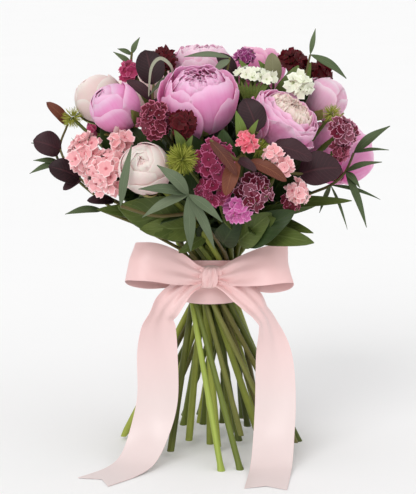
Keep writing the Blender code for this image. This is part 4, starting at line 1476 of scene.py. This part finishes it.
@dataclass(frozen=True)
class Branch:
    """A leafy branch: a trunk up to its fork, twigs that start there or on a twig, and leaves.

    A leaf is its base, its tip and its width, and its finish where that isn't the branch's own.
    """

    name: str
    slot: Slot
    twigs: tuple
    leaves: tuple
    form: LeafForm
    finish: str
    arched: tuple = ()
    twig_radius: float = 1.7
    leaf_thickness: float = 0.6

    def make(self) -> None:
        """The trunk, the twigs and the leaves as one piece."""
        dice = Dice(self.name)
        heights = np.linspace(SPIRAL.foot(self.slot), SPIRAL.fork_height, 26)
        line = np.array([SPIRAL.point(self.slot, height) for height in heights])
        rise = np.linspace(0, 1, len(line))
        trunk = standing_stem(self.slot, line, 2.9 - 0.6 * rise + 0.12 * np.sin(23 * rise), 9)
        fork = line[-1]
        below = fork + unit(SPIRAL.point(self.slot, SPIRAL.tie_height + 8) - fork) * 3
        tint = dice.uniform(0.3, 1.0)
        tubes = [dress(trunk, "stem_branch", tint)]
        for twig in self.twigs:
            points = [below, *twig[1:]] if twig[0] is None else twig
            line = smooth_line(points, 5)
            thinnest = self.twig_radius - 0.12 * (len(points) - 1)
            radii = np.linspace(self.twig_radius, thinnest, len(line))
            tubes.append(dress(roll("twig", line, radii, 7), "stem_branch", tint))
        grid = add_grid("leaf_grid", 8, 14)
        most = 0.5 if self.form is LeafForm.WILLOW else 0.2
        blades = []
        for base, tip, width, *finish in self.leaves:
            own = finish[0] if finish else self.finish
            twist = dice.uniform(-most, most)
            leaf = Leaf(base, tip, width, own, form=self.form, twist=twist, wave=0.03)
            blades.append(leaf.make(grid, dice.uniform(0.1, 0.9)))
        bpy.data.objects.remove(grid)
        for width, *points in self.arched:
            strip = self.arched_leaf(smooth_line(points, 6), width)
            blades.append(dress(strip, "leaf_arched", dice.uniform(0.3, 0.8)))
        parts = [seal(tubes), thicken(blades, self.leaf_thickness)]
        hand_in(self.name + "_sprig", parts, self.name)

    def arched_leaf(self, line: np.ndarray, width: float) -> Piece:
        """A long thin leaf that bends over along a line.

        Args:
            line: The points of its midrib.
            width: Its widest.

        Returns:
            The open sheet.
        """
        sides = unit_rows(np.cross(np.gradient(line, axis=0), (0, -1, 0.2)))
        strip = add_grid("arched_leaf", 3, len(line) - 1)
        u, v = shares(strip)
        row = row_of(v, len(line))
        half = width / 2 * np.maximum(np.sin(math.pi * v) ** 0.7, 0.06)
        fold = np.outer(np.abs(u) * width * 0.15, (0, -1, 0))
        return shape(strip, line[row] + sides[row] * (u * half)[:, None] + fold)


@dataclass(frozen=True)
class Bend:
    """One place along the ribbon: the middle of its width, the way across it and the width there."""

    middle: Point
    across: Point
    width: float = 40.0

    @property
    def row(self) -> list[float]:
        """The bend as one row of numbers."""
        return [*self.middle, *unit(self.across), self.width]


LEFT_TILT = (0.25, 0.4, 0.88)
RIGHT_TILT = (-0.12, 0.42, 0.9)


@dataclass(frozen=True)
class Bow:
    """The knot, both loops and both tails, tied from one satin ribbon."""

    ribbon_width: float = 40.0
    thickness: float = 0.5
    knot_middle: Point = (0.0, -40.5, 181.5)
    knot_size: Point = (11.5, 9.0, 11.5)
    knot_turn: float = 60.0
    left_notch: float = 12.0
    right_notch: float = 9.0
    left_loop: tuple = (
        Bend((-3, -42, 182), (0, 0, 1), 15),
        Bend((-16, -47, 185), (0, 0.15, 1), 21),
        Bend((-32, -54, 192), (0.1, 0.4, 0.91), 33),
        Bend((-52, -59, 199), LEFT_TILT, 38),
        Bend((-68, -57, 200), LEFT_TILT, 39),
        Bend((-78, -48, 198), LEFT_TILT, 39),
        Bend((-74, -38, 191), LEFT_TILT, 39),
        Bend((-58, -34, 187), LEFT_TILT, 38),
        Bend((-38, -35, 185), (0.1, 0.4, 0.91), 31),
        Bend((-18, -37, 183), (0, 0.1, 1), 20),
        Bend((-3, -37, 182), (0, 0, 1), 15),
    )
    right_loop: tuple = (
        Bend((3, -42, 182), (0, 0, 1), 15),
        Bend((16, -47, 184), (0, 0.15, 1), 21),
        Bend((32, -53, 190), (0, 0.42, 0.9), 32),
        Bend((51, -58, 195), RIGHT_TILT, 38),
        Bend((67, -55, 197), RIGHT_TILT, 39),
        Bend((77, -46, 195), RIGHT_TILT, 39),
        Bend((73, -37, 187), RIGHT_TILT, 39),
        Bend((57, -34, 183), RIGHT_TILT, 38),
        Bend((38, -35, 183), (0, 0.42, 0.9), 31),
        Bend((18, -37, 182), (0, 0.1, 1), 20),
        Bend((3, -37, 182), (0, 0, 1), 15),
    )
    left_tail: tuple = (
        Bend((-3, -41, 180), (-0.2, 0.15, 0.96), 12),
        Bend((-18, -47.5, 176), (-0.52, 0.28, 0.8), 16),
        Bend((-29, -51, 169), (-0.66, 0.28, 0.68), 22),
        Bend((-38.5, -55, 159.5), (-0.8, -0.1, 0.4), 27),
        Bend((-46.7, -58.5, 147.5), (-0.81, -0.52, -0.27), 32),
        Bend((-50.4, -58.5, 134), (-0.9, -0.38, -0.2), 37),
        Bend((-51.5, -56.5, 108), (-0.98, -0.18, -0.05)),
        Bend((-51.5, -58, 64), (-1, 0, 0)),
        Bend((-60, -66, 30), (-0.96, 0.28, 0)),
        Bend((-70, -80, 9), (-0.9, 0.44, 0)),
        Bend((-85, -99, 1.6), (-0.82, 0.57, 0)),
        Bend((-111, -129, 0.8), (-0.82, 0.57, 0)),
    )
    right_tail: tuple = (
        Bend((3, -41, 180), (0.2, 0.15, 0.96), 12),
        Bend((16, -48, 176.8), (0.66, 0.2, 0.72), 18),
        Bend((29, -52, 170), (0.73, 0.32, 0.6), 25),
        Bend((41, -53.5, 160), (0.77, 0.5, 0.4), 27),
        Bend((49.5, -54, 149.5), (0.65, 0.74, -0.1), 30),
        Bend((56.5, -52.5, 136), (0.6, 0.7, -0.38), 34),
        Bend((62.5, -54, 104), (0.92, 0.35, -0.15), 39),
        Bend((64, -60, 64), (1, 0.08, 0)),
        Bend((62.5, -70, 32), (1, 0, 0)),
        Bend((60, -88, 10), (1, 0, 0)),
        Bend((57, -108, 2), (1, -0.05, 0)),
        Bend((52, -150, 0.8), (1, -0.1, 0)),
    )

    def strip(self, name: str, bends: Sequence[Bend], notch: float = 0.0) -> tuple[Piece, float]:
        """A strip of ribbon through its bends, gathered in folds where it is drawn narrow.

        Args:
            name: The object's name.
            bends: The bends.
            notch: The depth of the V cut into its last end.

        Returns:
            The open sheet and its length in millimetres.
        """
        rows = smooth_line([bend.row for bend in bends], 7)
        middles, widths = rows[:, :3], rows[:, 6]
        ways = unit_rows(np.gradient(middles, axis=0))
        acrosses = unit_rows(rows[:, 3:6] - ways * np.sum(rows[:, 3:6] * ways, axis=1)[:, None])
        normals = np.cross(ways, acrosses)
        steps = np.linalg.norm(np.diff(middles, axis=0), axis=1)
        length = float(steps.sum())
        so_far = np.concatenate([[0.0], np.cumsum(steps)]) / length
        sheet = add_grid(name, 16, len(rows) - 1)
        u, v = shares(sheet)
        row = row_of(v, len(rows))
        share = so_far[row]
        gather = 1 - widths[row] / self.ribbon_width
        fold = 3.4 * gather * np.cos(2.6 * math.pi * u + 2.5 * share + 0.6)
        fold = fold + 0.8 * np.sin(3 * u + 9 * share) * (1 - gather)
        fold = fold * np.minimum(1, middles[row][:, 2] / 20)
        cut = notch * (1 - np.abs(u)) * np.clip((share - 0.90) / 0.10, 0, 1) ** 1.5
        at = middles[row] + acrosses[row] * (u * widths[row] / 2)[:, None]
        return shape(sheet, at + normals[row] * fold[:, None] - ways[row] * cut[:, None]), length

    def knot(self) -> Piece:
        """The knot: the ribbon drawn over the middle of the bow in soft upright folds.

        Returns:
            The closed knot.
        """
        knot = add_grid("knot", 96, 18)
        u, v = shares(knot)
        turn, rise = math.pi * (u + 1), 2 * v - 1
        swell = (1 - 0.30 * np.abs(rise) ** 3.0) * (1 - np.abs(rise) ** 14)
        folds = 1 + 0.10 * np.sin(11 * turn + 1.8 * rise) + 0.05 * np.sin(19 * turn - 2 * rise)
        sway = swell * folds
        points = np.stack([sway * np.cos(turn), sway * np.sin(turn), rise], axis=1) * self.knot_size
        points[:, 0] += 1.4 * rise
        return seal([shape(knot, points + self.knot_middle)])

    def make(self) -> None:
        """The whole bow as one piece of satin ribbon."""
        strips = [
            self.strip("left_loop", self.left_loop),
            self.strip("right_loop", self.right_loop),
            self.strip("left_tail", self.left_tail, self.left_notch),
            self.strip("right_tail", self.right_tail, self.right_notch),
        ]
        sheets = [dress(sheet, "satin_blush") for sheet, _ in strips]
        parts = [thicken(sheets, self.thickness), dress(self.knot(), "satin_blush")]
        bow = hand_in("satin_bow", parts, "ribbon_bow")


@dataclass(frozen=True)
class Binding:
    """The string at the tie and the ribbon band that covers it."""

    tie_height: float = 172.0
    band_radius: float = 31.0
    band_width: float = 40.0
    band_thickness: float = 0.5
    coil_radius: float = 28.2
    string_radius: float = 0.7
    string_turns: float = 1.5

    def make_string(self) -> None:
        """The string as a wound, twisted twine."""
        turn = np.linspace(0, 2 * math.pi * self.string_turns, int(72 * self.string_turns) + 1)
        pitch = 3 * self.string_radius
        height = self.tie_height + pitch * (turn / (2 * math.pi) - self.string_turns / 2)
        line = np.stack([self.coil_radius * np.cos(turn), self.coil_radius * np.sin(turn), height], axis=1)
        string = roll("string", line, self.string_radius * (1 + 0.10 * np.sin(24 * turn)), 8)
        parts = [seal([dress(string, "string_twine")])]
        hand_in("binding_twine", parts, "binding_string")

    def make_band(self) -> None:
        """The ribbon band, drawn into creases towards the knot."""
        band = add_grid("band", 96, 14)
        u, v = shares(band)
        turn, rise = math.pi * u - math.pi / 2, 2 * v - 1
        front = np.exp(-(u / 0.34) ** 2)
        crease = 1.1 * front * np.sin(9 * rise + 12 * np.abs(u)) + 0.25 * np.sin(5 * rise + 3 * turn)
        reach = self.band_radius + np.minimum(crease, 1.3) * 0.6
        height = self.tie_height + self.band_width / 2 * rise + 2.0 * front * (1 + rise)
        shape(band, np.stack([reach * np.cos(turn), reach * np.sin(turn), height], axis=1))
        band = thicken([seal([band], capped=False)], self.band_thickness)
        parts = [dress(band, "satin_blush")]
        piece = hand_in("satin_band", parts, "ribbon_band")


@dataclass(frozen=True)
class Studio:
    """The floor, the lights and the camera."""

    target: Point = (-2.0, 0.0, 204.0)
    distance: float = 1726.0
    elevation: float = 10.0
    image_height: int = 494
    floor_size: float = 90.0
    sky: float = 0.78

    def make_floor(self) -> None:
        """A plain pale floor that runs past the camera's view."""
        clear_selection()
        bpy.ops.mesh.primitive_plane_add(size=self.floor_size)
        floor = bpy.context.active_object
        floor.name = "studio_floor"
        recipe = Recipe("floor_paint", roughness=0.9, specular=0.1)
        paint = recipe.mix(recipe.noise(3.0), (0.90, 0.90, 0.90), (0.92, 0.92, 0.92))
        floor.data.materials.append(recipe.coloured(paint))

    def make_light(self, name: str, way: Point, strength: float, spread: float) -> None:
        """A broad soft light from far away.

        Args:
            name: The light's name.
            way: Where it shines from.
            strength: Its strength.
            spread: How broad it looks from the bouquet, in degrees.
        """
        clear_selection()
        bpy.ops.object.light_add(type="SUN", location=way)
        light = bpy.context.active_object
        light.name = name
        light.data.energy = strength
        light.data.angle = math.radians(spread)
        light.rotation_euler = Vector(way).to_track_quat("Z", "Y").to_euler()

    def make_camera(self) -> None:
        """The camera at the photograph's angle, with its lens in line with the photograph's frame."""
        tilt = math.radians(self.elevation)
        away = Vector((0, -math.cos(tilt), math.sin(tilt))) * self.distance
        target = Vector(self.target)
        clear_selection()
        bpy.ops.object.camera_add(location=(target + away) * MM)
        camera = bpy.context.active_object
        camera.name = "photo_camera"
        camera.rotation_euler = (-away).to_track_quat("-Z", "Y").to_euler()
        camera.data.lens = self.distance / self.image_height * camera.data.sensor_width
        camera.data.clip_end = 200
        bpy.context.scene.camera = camera

    def make(self) -> None:
        """The whole studio, under an even white sky."""
        world = bpy.data.worlds.new("studio")
        world.use_nodes = True
        sky = world.node_tree.nodes["Background"].inputs
        sky[0].default_value = (1, 1, 1, 1)
        sky[1].default_value = self.sky
        bpy.context.scene.world = world
        bpy.context.scene.view_settings.view_transform = "Standard"
        self.make_floor()
        self.make_light("key_light", (-0.42, -1.0, 0.74), 1.3, 35.0)
        self.make_light("fill_light", (0.9, -0.9, 0.7), 0.35, 60.0)
        self.make_camera()


PEONIES = (
    Peony("peony_centre", (-10, -68, 356), 36, (0, -0.4, 0.9), 0.55, (1, 5), BloomForm.CUP, "petal_orchid"),
    Peony("peony_top", (-8, 14, 380), 31, (0, -0.05, 1), 0.5, (0, 0), BloomForm.CUP, "petal_top"),
    Peony(
        "peony_top_right", (48, 60, 376), 28, (0.1, 0.25, 1), 0.5, (1, 2),
        BloomForm.CUP, "petal_hot",
        ((252, (58, 76, 268), 26), (240, (80, 60, 250), 24)),
    ),
    Peony(
        "peony_left_bud", (-90, -70, 350), 25, (-0.6, -0.45, 0.65), 0.0, (2, 12),
        BloomForm.BUD, "petal_orchid", sepal_way=(0.75, -0.6, -0.1),
    ),
    Peony(
        "peony_left_pale", (-109, -14, 354), 25, (-0.6, 0, 0.8), 0.0, (2, 10),
        BloomForm.BUD, "petal_blush",
        ((240, (-90, 18, 262), 26), (230, (-84, -8, 240), 22)),
    ),
    Peony(
        "peony_front_pale", (-60, -118, 298), 26, (-0.15, -0.85, 0.5), 0.15, (3, 17.9),
        BloomForm.BUD, "petal_blush",
        ((234, (-86, -105, 260), 42), (232, (-66, -98, 238), 26), (222, (-30, -62, 209), 12)),
    ),
    Peony(
        "peony_right_open", (70, -72, 339), 36, (0.45, -0.6, 0.65), 1.0, (2, 1),
        BloomForm.OPEN, "petal_lilac", petaloids=170, gaze=(0.55, -0.30, 0.78),
    ),
    Peony("peony_right_back", (113, -7, 353), 24, (0.5, 0, 0.85), 0.2, (2, 3), BloomForm.BUD, "petal_top"),
    Peony(
        "peony_right_edge", (127, 13, 298), 35, (0.85, 0.1, 0.35), 0.8, (3, 5.3),
        BloomForm.OPEN, "petal_lilac",
        ((236, (116, 44, 244), 26), (230, (92, 66, 238), 26)), petaloids=40, gaze=(0.25, 0.75, 0.6),
    ),
    Peony(
        "peony_back_left", (-64, 66, 350), 34, (-0.4, 0.6, 0.7), 0.5, (1, 3),
        BloomForm.CUP, "petal_blush",
        ((240, (-34, 86, 262), 26), (232, (-70, 60, 250), 24)),
    ),
    Peony(
        "peony_back_low", (20, 112, 306), 34, (0.1, 0.85, 0.5), 0.6, (2, 6),
        BloomForm.CUP, "petal_orchid",
        (
            (240, (52, 100, 250), 26), (230, (14, 98, 238), 24), (246, (40, 92, 276), 28),
            (268, (-6, 98, 322), 30), (264, (50, 84, 318), 30), (272, (22, 78, 344), 32),
        ),
    ),
)

SPRAYS = (
    Spray(
        "sweet_william_spray_left",
        ((3, 16.2), (3, 16.85)),
        {
            "florets_salmon_left": (
                Head((-117, -73, 308), 22, (-0.8, -0.5, 0.45), 7, 8.6),
                Head((-96, -91, 292), 25, (-0.55, -0.8, 0.35), 9, 9.0),
                Head((-84, -88, 321), 11, (-0.2, -0.8, 0.6), 3, 8.2),
            ),
            "tuft_left": (Head((-134, -24, 336), 10, (-0.8, -0.3, 0.6), 0),),
        },
        {"florets_salmon_left": "floret_salmon"},
        ((245, (-106, -98, 257), 16), (236, (-80, -84, 248), 30)),
        (
            Leaf((-70, -54, 262), (-96, -66, 300), 30),
            Leaf((-62, -58, 272), (-78, -76, 318), 30),
            Leaf((-84, -44, 276), (-112, -50, 306), 26),
            Leaf((-82, -46, 288), (-104, -54, 332), 28),
            Leaf((-50, -58, 290), (-76, -66, 330), 32),
        ),
    ),
    Spray(
        "sweet_william_spray_top_left",
        ((1, 4),),
        {
            "florets_crimson_top_left": (Head((-46, -12, 389), 15, (-0.2, -0.3, 1), 6, 6.8),),
            "florets_rose_top_left": (Head((-77, -16, 379), 13, (-0.4, -0.3, 0.9), 5, 6.4),),
        },
        {
            "florets_crimson_top_left": "floret_crimson",
            "florets_rose_top_left": "floret_rose",
        },
        free_leaves=(Leaf((-32, -14, 346), (-38, -20, 384), 14),),
    ),
    Spray(
        "sweet_william_spray_burgundy",
        ((2, 13),),
        {
            "florets_burgundy": (
                Head((-51, -100, 341), 18, (-0.3, -0.8, 0.6), 7, 7.4),
                Head((-25, -112, 339), 14, (0, -0.85, 0.5), 6, 7.0, finish="floret_crimson"),
            )
        },
        {"florets_burgundy": "floret_burgundy"},
    ),
    Spray(
        "sweet_william_spray_magenta",
        ((3, 19.6),),
        {
            "florets_magenta": (
                Head((4, -116, 305), 21, (0, -0.9, 0.45), 8, 7.6),
                Head((3, -118, 280), 17, (-0.1, -0.9, 0.1), 6, 7.4),
                Head((25, -108, 260), 13, (0.2, -0.8, -0.1), 5, 7.6, finish="floret_orchid"),
            ),
            "tuft_front": (Head((-26, -128, 308), 14, (-0.3, -0.85, 0.5), 0),),
        },
        {"florets_magenta": "floret_magenta"},
        free_leaves=(
            Leaf((-16, -84, 268), (-38, -96, 300), 24),
            Leaf((-6, -80, 290), (-28, -92, 330), 26),
            Leaf((14, -84, 290), (12, -94, 332), 26),
            Leaf((-24, -116, 312), (-33, -124, 335), 10, "leaf_collar", (0.3, -0.9, 0.2), LeafForm.LANCE),
            Leaf((-22, -114, 308), (-16, -126, 330), 8, "leaf_collar", (-0.3, -0.9, 0.2), LeafForm.LANCE),
        ),
    ),
    Spray(
        "sweet_william_spray_picotee",
        ((3, 1.25), (3, 1.85)),
        {
            "florets_picotee": (
                Head((40, -106, 276), 20, (0.2, -0.9, 0.4), 8, 7.8),
                Head((76, -82, 262), 10, (0.5, -0.8, -0.1), 3, 7.0, finish="floret_burgundy"),
            ),
            "florets_salmon_low": (Head((82, -94, 273), 13, (0.55, -0.8, 0.3), 5, 7.0),),
        },
        {"florets_picotee": "floret_picotee", "florets_salmon_low": "floret_salmon"},
        (
            (228, (98, -95, 225), 24), (226, (61, -98, 249), 20), (232, (82, -86, 259), 22),
            (222, (38, -92, 234), 22), (234, (12, -92, 246), 22),
        ),
        (
            Leaf((32, -66, 222), (80, -88, 254), 30, "leaf_painted_shade", (0, -1, 0.3)),
            Leaf((26, -64, 220), (58, -86, 252), 28, "leaf_collar", (0, -1, 0.3)),
            Leaf((12, -62, 218), (30, -86, 250), 24, "leaf_painted_shade", (0, -1, 0.3)),
            Leaf((8, -24, 208), (24, -36, 250), 20, "leaf_painted_shade", (0, -1, 0.3)),
            Leaf((-4, -22, 208), (2, -34, 252), 20, "leaf_painted_shade", (0, -1, 0.3)),
        ),
    ),
    Spray(
        "sweet_william_spray_coral",
        ((2, 0.1),),
        {
            "florets_salmon_small": (
                Head((57, -121, 312), 9, (0.1, -0.85, 0.5), 3, 6.0),
                Head((69, -119, 300), 9, (0.4, -0.85, 0.4), 3, 6.0),
            ),
            "florets_coral": (Head((33, -124, 325), 9, (0.1, -0.9, 0.5), 3, 6.6),),
            "tuft_right": (Head((46, -108, 316), 9, (0.3, -0.8, 0.6), 0),),
        },
        {"florets_salmon_small": "floret_salmon", "florets_coral": "floret_coral"},
        free_leaves=(
            Leaf((40, -56, 262), (58, -72, 306), 30),
            Leaf((58, -54, 262), (88, -66, 300), 30),
            Leaf((30, -70, 290), (34, -84, 330), 26),
            Leaf((50, -70, 290), (50, -88, 322), 22, "leaf_collar"),
            Leaf((30, -112, 320), (23.5, -120, 352), 11, "leaf_fresh", (0.2, -0.9, 0.2), LeafForm.LANCE),
            Leaf((34, -110, 318), (44, -122, 344), 8, "leaf_fresh", (-0.3, -0.9, 0.2), LeafForm.LANCE),
        ),
    ),
    Spray(
        "sweet_william_spray_white",
        ((1, 0),),
        {
            "florets_white_flat": (Head((43, -34, 377), 23, (0.1, -0.08, 1), 7, 7.0, 0.20),),
            "florets_white_round": (Head((87, -46, 370), 12, (0.25, -0.72, 0.7), 3, 11.0, 0.2),),
        },
        {"florets_white_flat": "floret_ivory", "florets_white_round": "floret_ivory"},
        free_leaves=(
            Leaf((66, -8, 336), (86, -14, 386), 22, "leaf_collar"),
            Leaf((16, -6, 336), (25, -10, 386), 18),
            Leaf((58, -26, 330), (52, -30, 372), 20, "leaf_collar"),
            Leaf((72, -20, 330), (100, -28, 372), 20),
            Leaf((42, -10, 372), (28, -16, 392), 8, "leaf_fresh", (0, -1, 0.2), LeafForm.LANCE),
            Leaf((60, -8, 372), (47, -14, 391), 8, "leaf_fresh", (0, -1, 0.2), LeafForm.LANCE),
            Leaf((90, 6, 358), (99, 0, 388), 9, "leaf_fresh", (0, -1, 0.2), LeafForm.LANCE),
            *(
                Leaf((38, -38, 350), (24 + 5 * k, -46, 374), 5, "leaf_fresh", (0, -1, 0.2), LeafForm.LANCE)
                for k in range(8)
            ),
        ),
    ),
    Spray(
        "sweet_william_spray_right",
        ((3, 3.5),),
        {
            "florets_plum_right": (
                Head((127, -58, 326), 15, (0.6, -0.65, 0.45), 7, 6.8),
                Head((124, -56, 307), 10, (0.7, -0.6, 0.2), 4, 6.4, finish="floret_burgundy"),
            ),
            "bracts_right": (Head((117, -44, 342), 9, (-0.2, -0.6, 0.8), 0),),
        },
        {"florets_plum_right": "floret_picotee"},
        ((250, (136, -62, 260), 12), (236, (98, -82, 232), 14)),
    ),
    Spray(
        "sweet_william_spray_top_right",
        ((1, 1),),
        {
            "florets_violet": (Head((35, 1, 392), 11, (0.1, -0.3, 1), 4, 6.2),),
            "florets_crimson_top_right": (
                Head((82, 12, 387), 15, (0.3, -0.2, 1), 6, 7.2),
                Head((106, 18, 374), 16, (0.5, -0.2, 0.9), 6, 7.4),
            ),
        },
        {
            "florets_violet": "floret_violet",
            "florets_crimson_top_right": "floret_crimson",
        },
    ),
    Spray(
        "sweet_william_spray_back",
        ((3, 11.2), (3, 11.85)),
        {
            "florets_rose_back": (Head((-108, 42, 318), 20, (-0.85, 0.4, 0.5), 5, 8.8),),
            "florets_salmon_back": (Head((-50, 112, 304), 20, (-0.4, 0.85, 0.45), 5, 8.8),),
        },
        {"florets_salmon_back": "floret_salmon", "florets_rose_back": "floret_rose"},
        (
            (232, (-95, 55, 250), 22), (232, (-40, 105, 246), 26), (228, (-66, 84, 238), 24),
            (236, (-12, 100, 252), 24),
        ),
        (
            Leaf((15, 66, 262), (30, 94, 316), 32, "leaf_collar", (1, 0.2, 0.3)),
            Leaf((18, 72, 266), (34, 112, 284), 26, "leaf_painted_shade", (1, 0.2, 0.4)),
            Leaf((13, 62, 260), (22, 66, 326), 32, "leaf_painted_shade", (1, 0.1, 0.3)),
            Leaf((11, 66, 262), (-8, 92, 314), 30, "leaf_collar", (-1, 0.2, 0.3)),
            Leaf((11, 70, 264), (-6, 110, 286), 26, "leaf_painted_shade", (-1, 0.2, 0.4)),
        ),
        bright_stem=0,
    ),
)

BRANCHES = (
    Branch(
        "smoke_bush_left", (3, 15.2),
        (
            (None, (-55, -28, 236), (-100, -48, 262), (-126, -38, 278), (-146, -24, 304), (-140, -8, 328)),
            ((-55, -28, 236), (-92, -66, 260)),
        ),
        (
            ((-140, -8, 328), (-160, -14, 350), 12, "leaf_rust"),
            ((-146, -24, 304), (-172, -30, 314), 27),
            ((-126, -38, 278), (-156, -46, 291), 26),
            ((-126, -38, 278), (-142, -46, 268), 10),
            ((-92, -66, 260), (-117, -76, 262), 11),
        ),
        LeafForm.ROUND, "leaf_smoke",
    ),
    Branch(
        "smoke_bush_top", (2, 11),
        (
            (None, (-40, -30, 260), (-52, -44, 320), (-55, -50, 356), (-54, -46, 370)),
            (None, (4, -14, 270), (18, -22, 340), (24, -20, 376)),
        ),
        (
            ((-54, -46, 370), (-62, -34, 402), 28),
            ((-55, -50, 356), (-46, -62, 346), 10),
            ((-55, -50, 356), (-80, -46, 374), 12),
            ((24, -20, 376), (6, -28, 398), 17),
        ),
        LeafForm.ROUND, "leaf_smoke",
    ),
    Branch(
        "smoke_bush_right", (3, 2.7),
        (
            (None, (32, -42, 252), (24, -88, 298), (30, -112, 309), (36, -122, 306)),
            ((24, -88, 298), (38, -94, 322), (44, -105, 331)),
            ((30, -112, 309), (24, -127, 308), (12, -134, 318), (0, -137, 327)),
            (None, (52, -70, 262), (62, -88, 292), (64, -100, 311)),
            ((62, -88, 292), (90, -83, 288)),
            (None, (48, -14, 270), (60, -13, 340), (62, -12, 368)),
        ),
        (
            ((44, -105, 331), (32, -97, 361), 26),
            ((58, -100, 318), (95, -104, 305), 22),
            ((84, -83, 288), (124, -82, 294), 36),
            ((62, -12, 368), (60, -12, 398), 17, "leaf_olive"),
            ((36, -122, 306), (70, -128, 288), 13, "leaf_rust"),
            ((24, -126, 308), (14, -138, 276), 15, "leaf_rust"),
            ((0, -137, 326), (24, -141, 295), 11, "leaf_rust"),
            ((25, -124, 308), (42, -134, 298), 10),
        ),
        LeafForm.ROUND, "leaf_smoke",
    ),
    Branch(
        "eucalyptus_front", (3, 18.8),
        (
            (None, (0, -70, 232), (-16, -112, 256), (-20, -138, 277)),
            ((-16, -112, 256), (-50, -130, 256), (-82, -136, 266)),
        ),
        (
            ((-20, -138, 277), (-65, -152, 284), 10),
            ((-20, -138, 277), (-62, -146, 257), 10),
            ((-20, -138, 277), (-48, -154, 306), 13),
            ((-20, -138, 277), (11, -148, 253), 10),
            ((-20, -138, 277), (-18, -130, 223), 11),
            ((-20, -138, 277), (4, -134, 226), 9),
            ((-82, -136, 266), (-71, -142, 324), 8),
        ),
        LeafForm.WILLOW, "leaf_eucalyptus",
    ),
    Branch(
        "eucalyptus_left", (3, 14),
        (
            (None, (-75, -22, 232), (-118, -24, 264), (-146, -18, 290), (-152, -16, 302)),
            ((-75, -22, 232), (-104, -58, 250)),
        ),
        (
            ((-152, -16, 302), (-174, -30, 312), 5),
            ((-146, -18, 290), (-172, -32, 295), 6),
            ((-146, -18, 290), (-175, -38, 283), 8),
            ((-104, -58, 250), (-138, -76, 249), 9),
        ),
        LeafForm.WILLOW, "leaf_eucalyptus_dark",
    ),
    Branch(
        "eucalyptus_top", (2, 9),
        (
            (None, (-38, -2, 280), (-58, 2, 340), (-76, 6, 382), (-77, 6, 398)),
            ((-38, -2, 280), (-36, -26, 350), (-35, -34, 378)),
            (None, (-19, -9, 219), (-13, -16, 235), (0, -18, 262), (10, -30, 350), (19, -36, 395)),
        ),
        (
            ((-76, 6, 383), (-95, 2, 398), 6, "leaf_eucalyptus_dark"),
            ((-77, 6, 395), (-91, 4, 401), 5, "leaf_eucalyptus_dark"),
            ((-77, 6, 396), (-69, 6, 412), 6, "leaf_eucalyptus_dark"),
            ((-35, -34, 378), (-58, -66, 361), 5),
            ((19, -36, 395), (-25, -40, 396), 6),
            ((19, -36, 393), (3, -40, 381), 8),
        ),
        LeafForm.WILLOW, "leaf_eucalyptus",
        ((3.2, (-35, -56, 376), (-37, -66, 389), (-47, -68, 396.5), (-55.5, -70, 387), (-58, -72, 361)),),
    ),
    Branch(
        "eucalyptus_right", (3, 4.4),
        (
            (None, (36, 13, 228), (54, 12, 258), (62, 13, 280), (82, -2, 330), (91, -8, 366), (98, -6, 396)),
            (None, (84, 0, 250), (118, -26, 270), (132, -30, 284), (140, -28, 302)),
        ),
        (
            ((98, -6, 396), (103, -2, 421), 5),
            ((98, -6, 396), (134, 2, 372), 9),
            ((140, -28, 302), (175, -26, 328), 10),
            ((140, -28, 302), (174, -30, 305), 4),
            ((132, -30, 284), (166, -44, 295), 7),
            ((132, -30, 284), (145, -46, 270), 7),
            ((118, -26, 270), (166, -34, 257), 4),
            ((118, -26, 270), (106, -48, 246), 5),
            ((132, -30, 284), (151, -56, 233), 7.5),
            ((118, -26, 270), (133, -50, 230), 3),
        ),
        LeafForm.WILLOW, "leaf_eucalyptus_dark",
    ),
)


def main() -> None:
    """Builds every piece of the bouquet and its studio."""
    logging.basicConfig(level=logging.INFO, format="%(name)s: %(message)s")
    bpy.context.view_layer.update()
    kit = FloretKit()
    for bloom in PEONIES:
        bloom.make_bloom()
        bloom.make_stem()
    for spray in SPRAYS:
        spray.make(kit)
    kit.clear()
    for branch in BRANCHES:
        branch.make()
    binding = Binding()
    binding.make_string()
    binding.make_band()
    Bow().make()
    Studio().make()


if __name__ == "__main__":
    main()
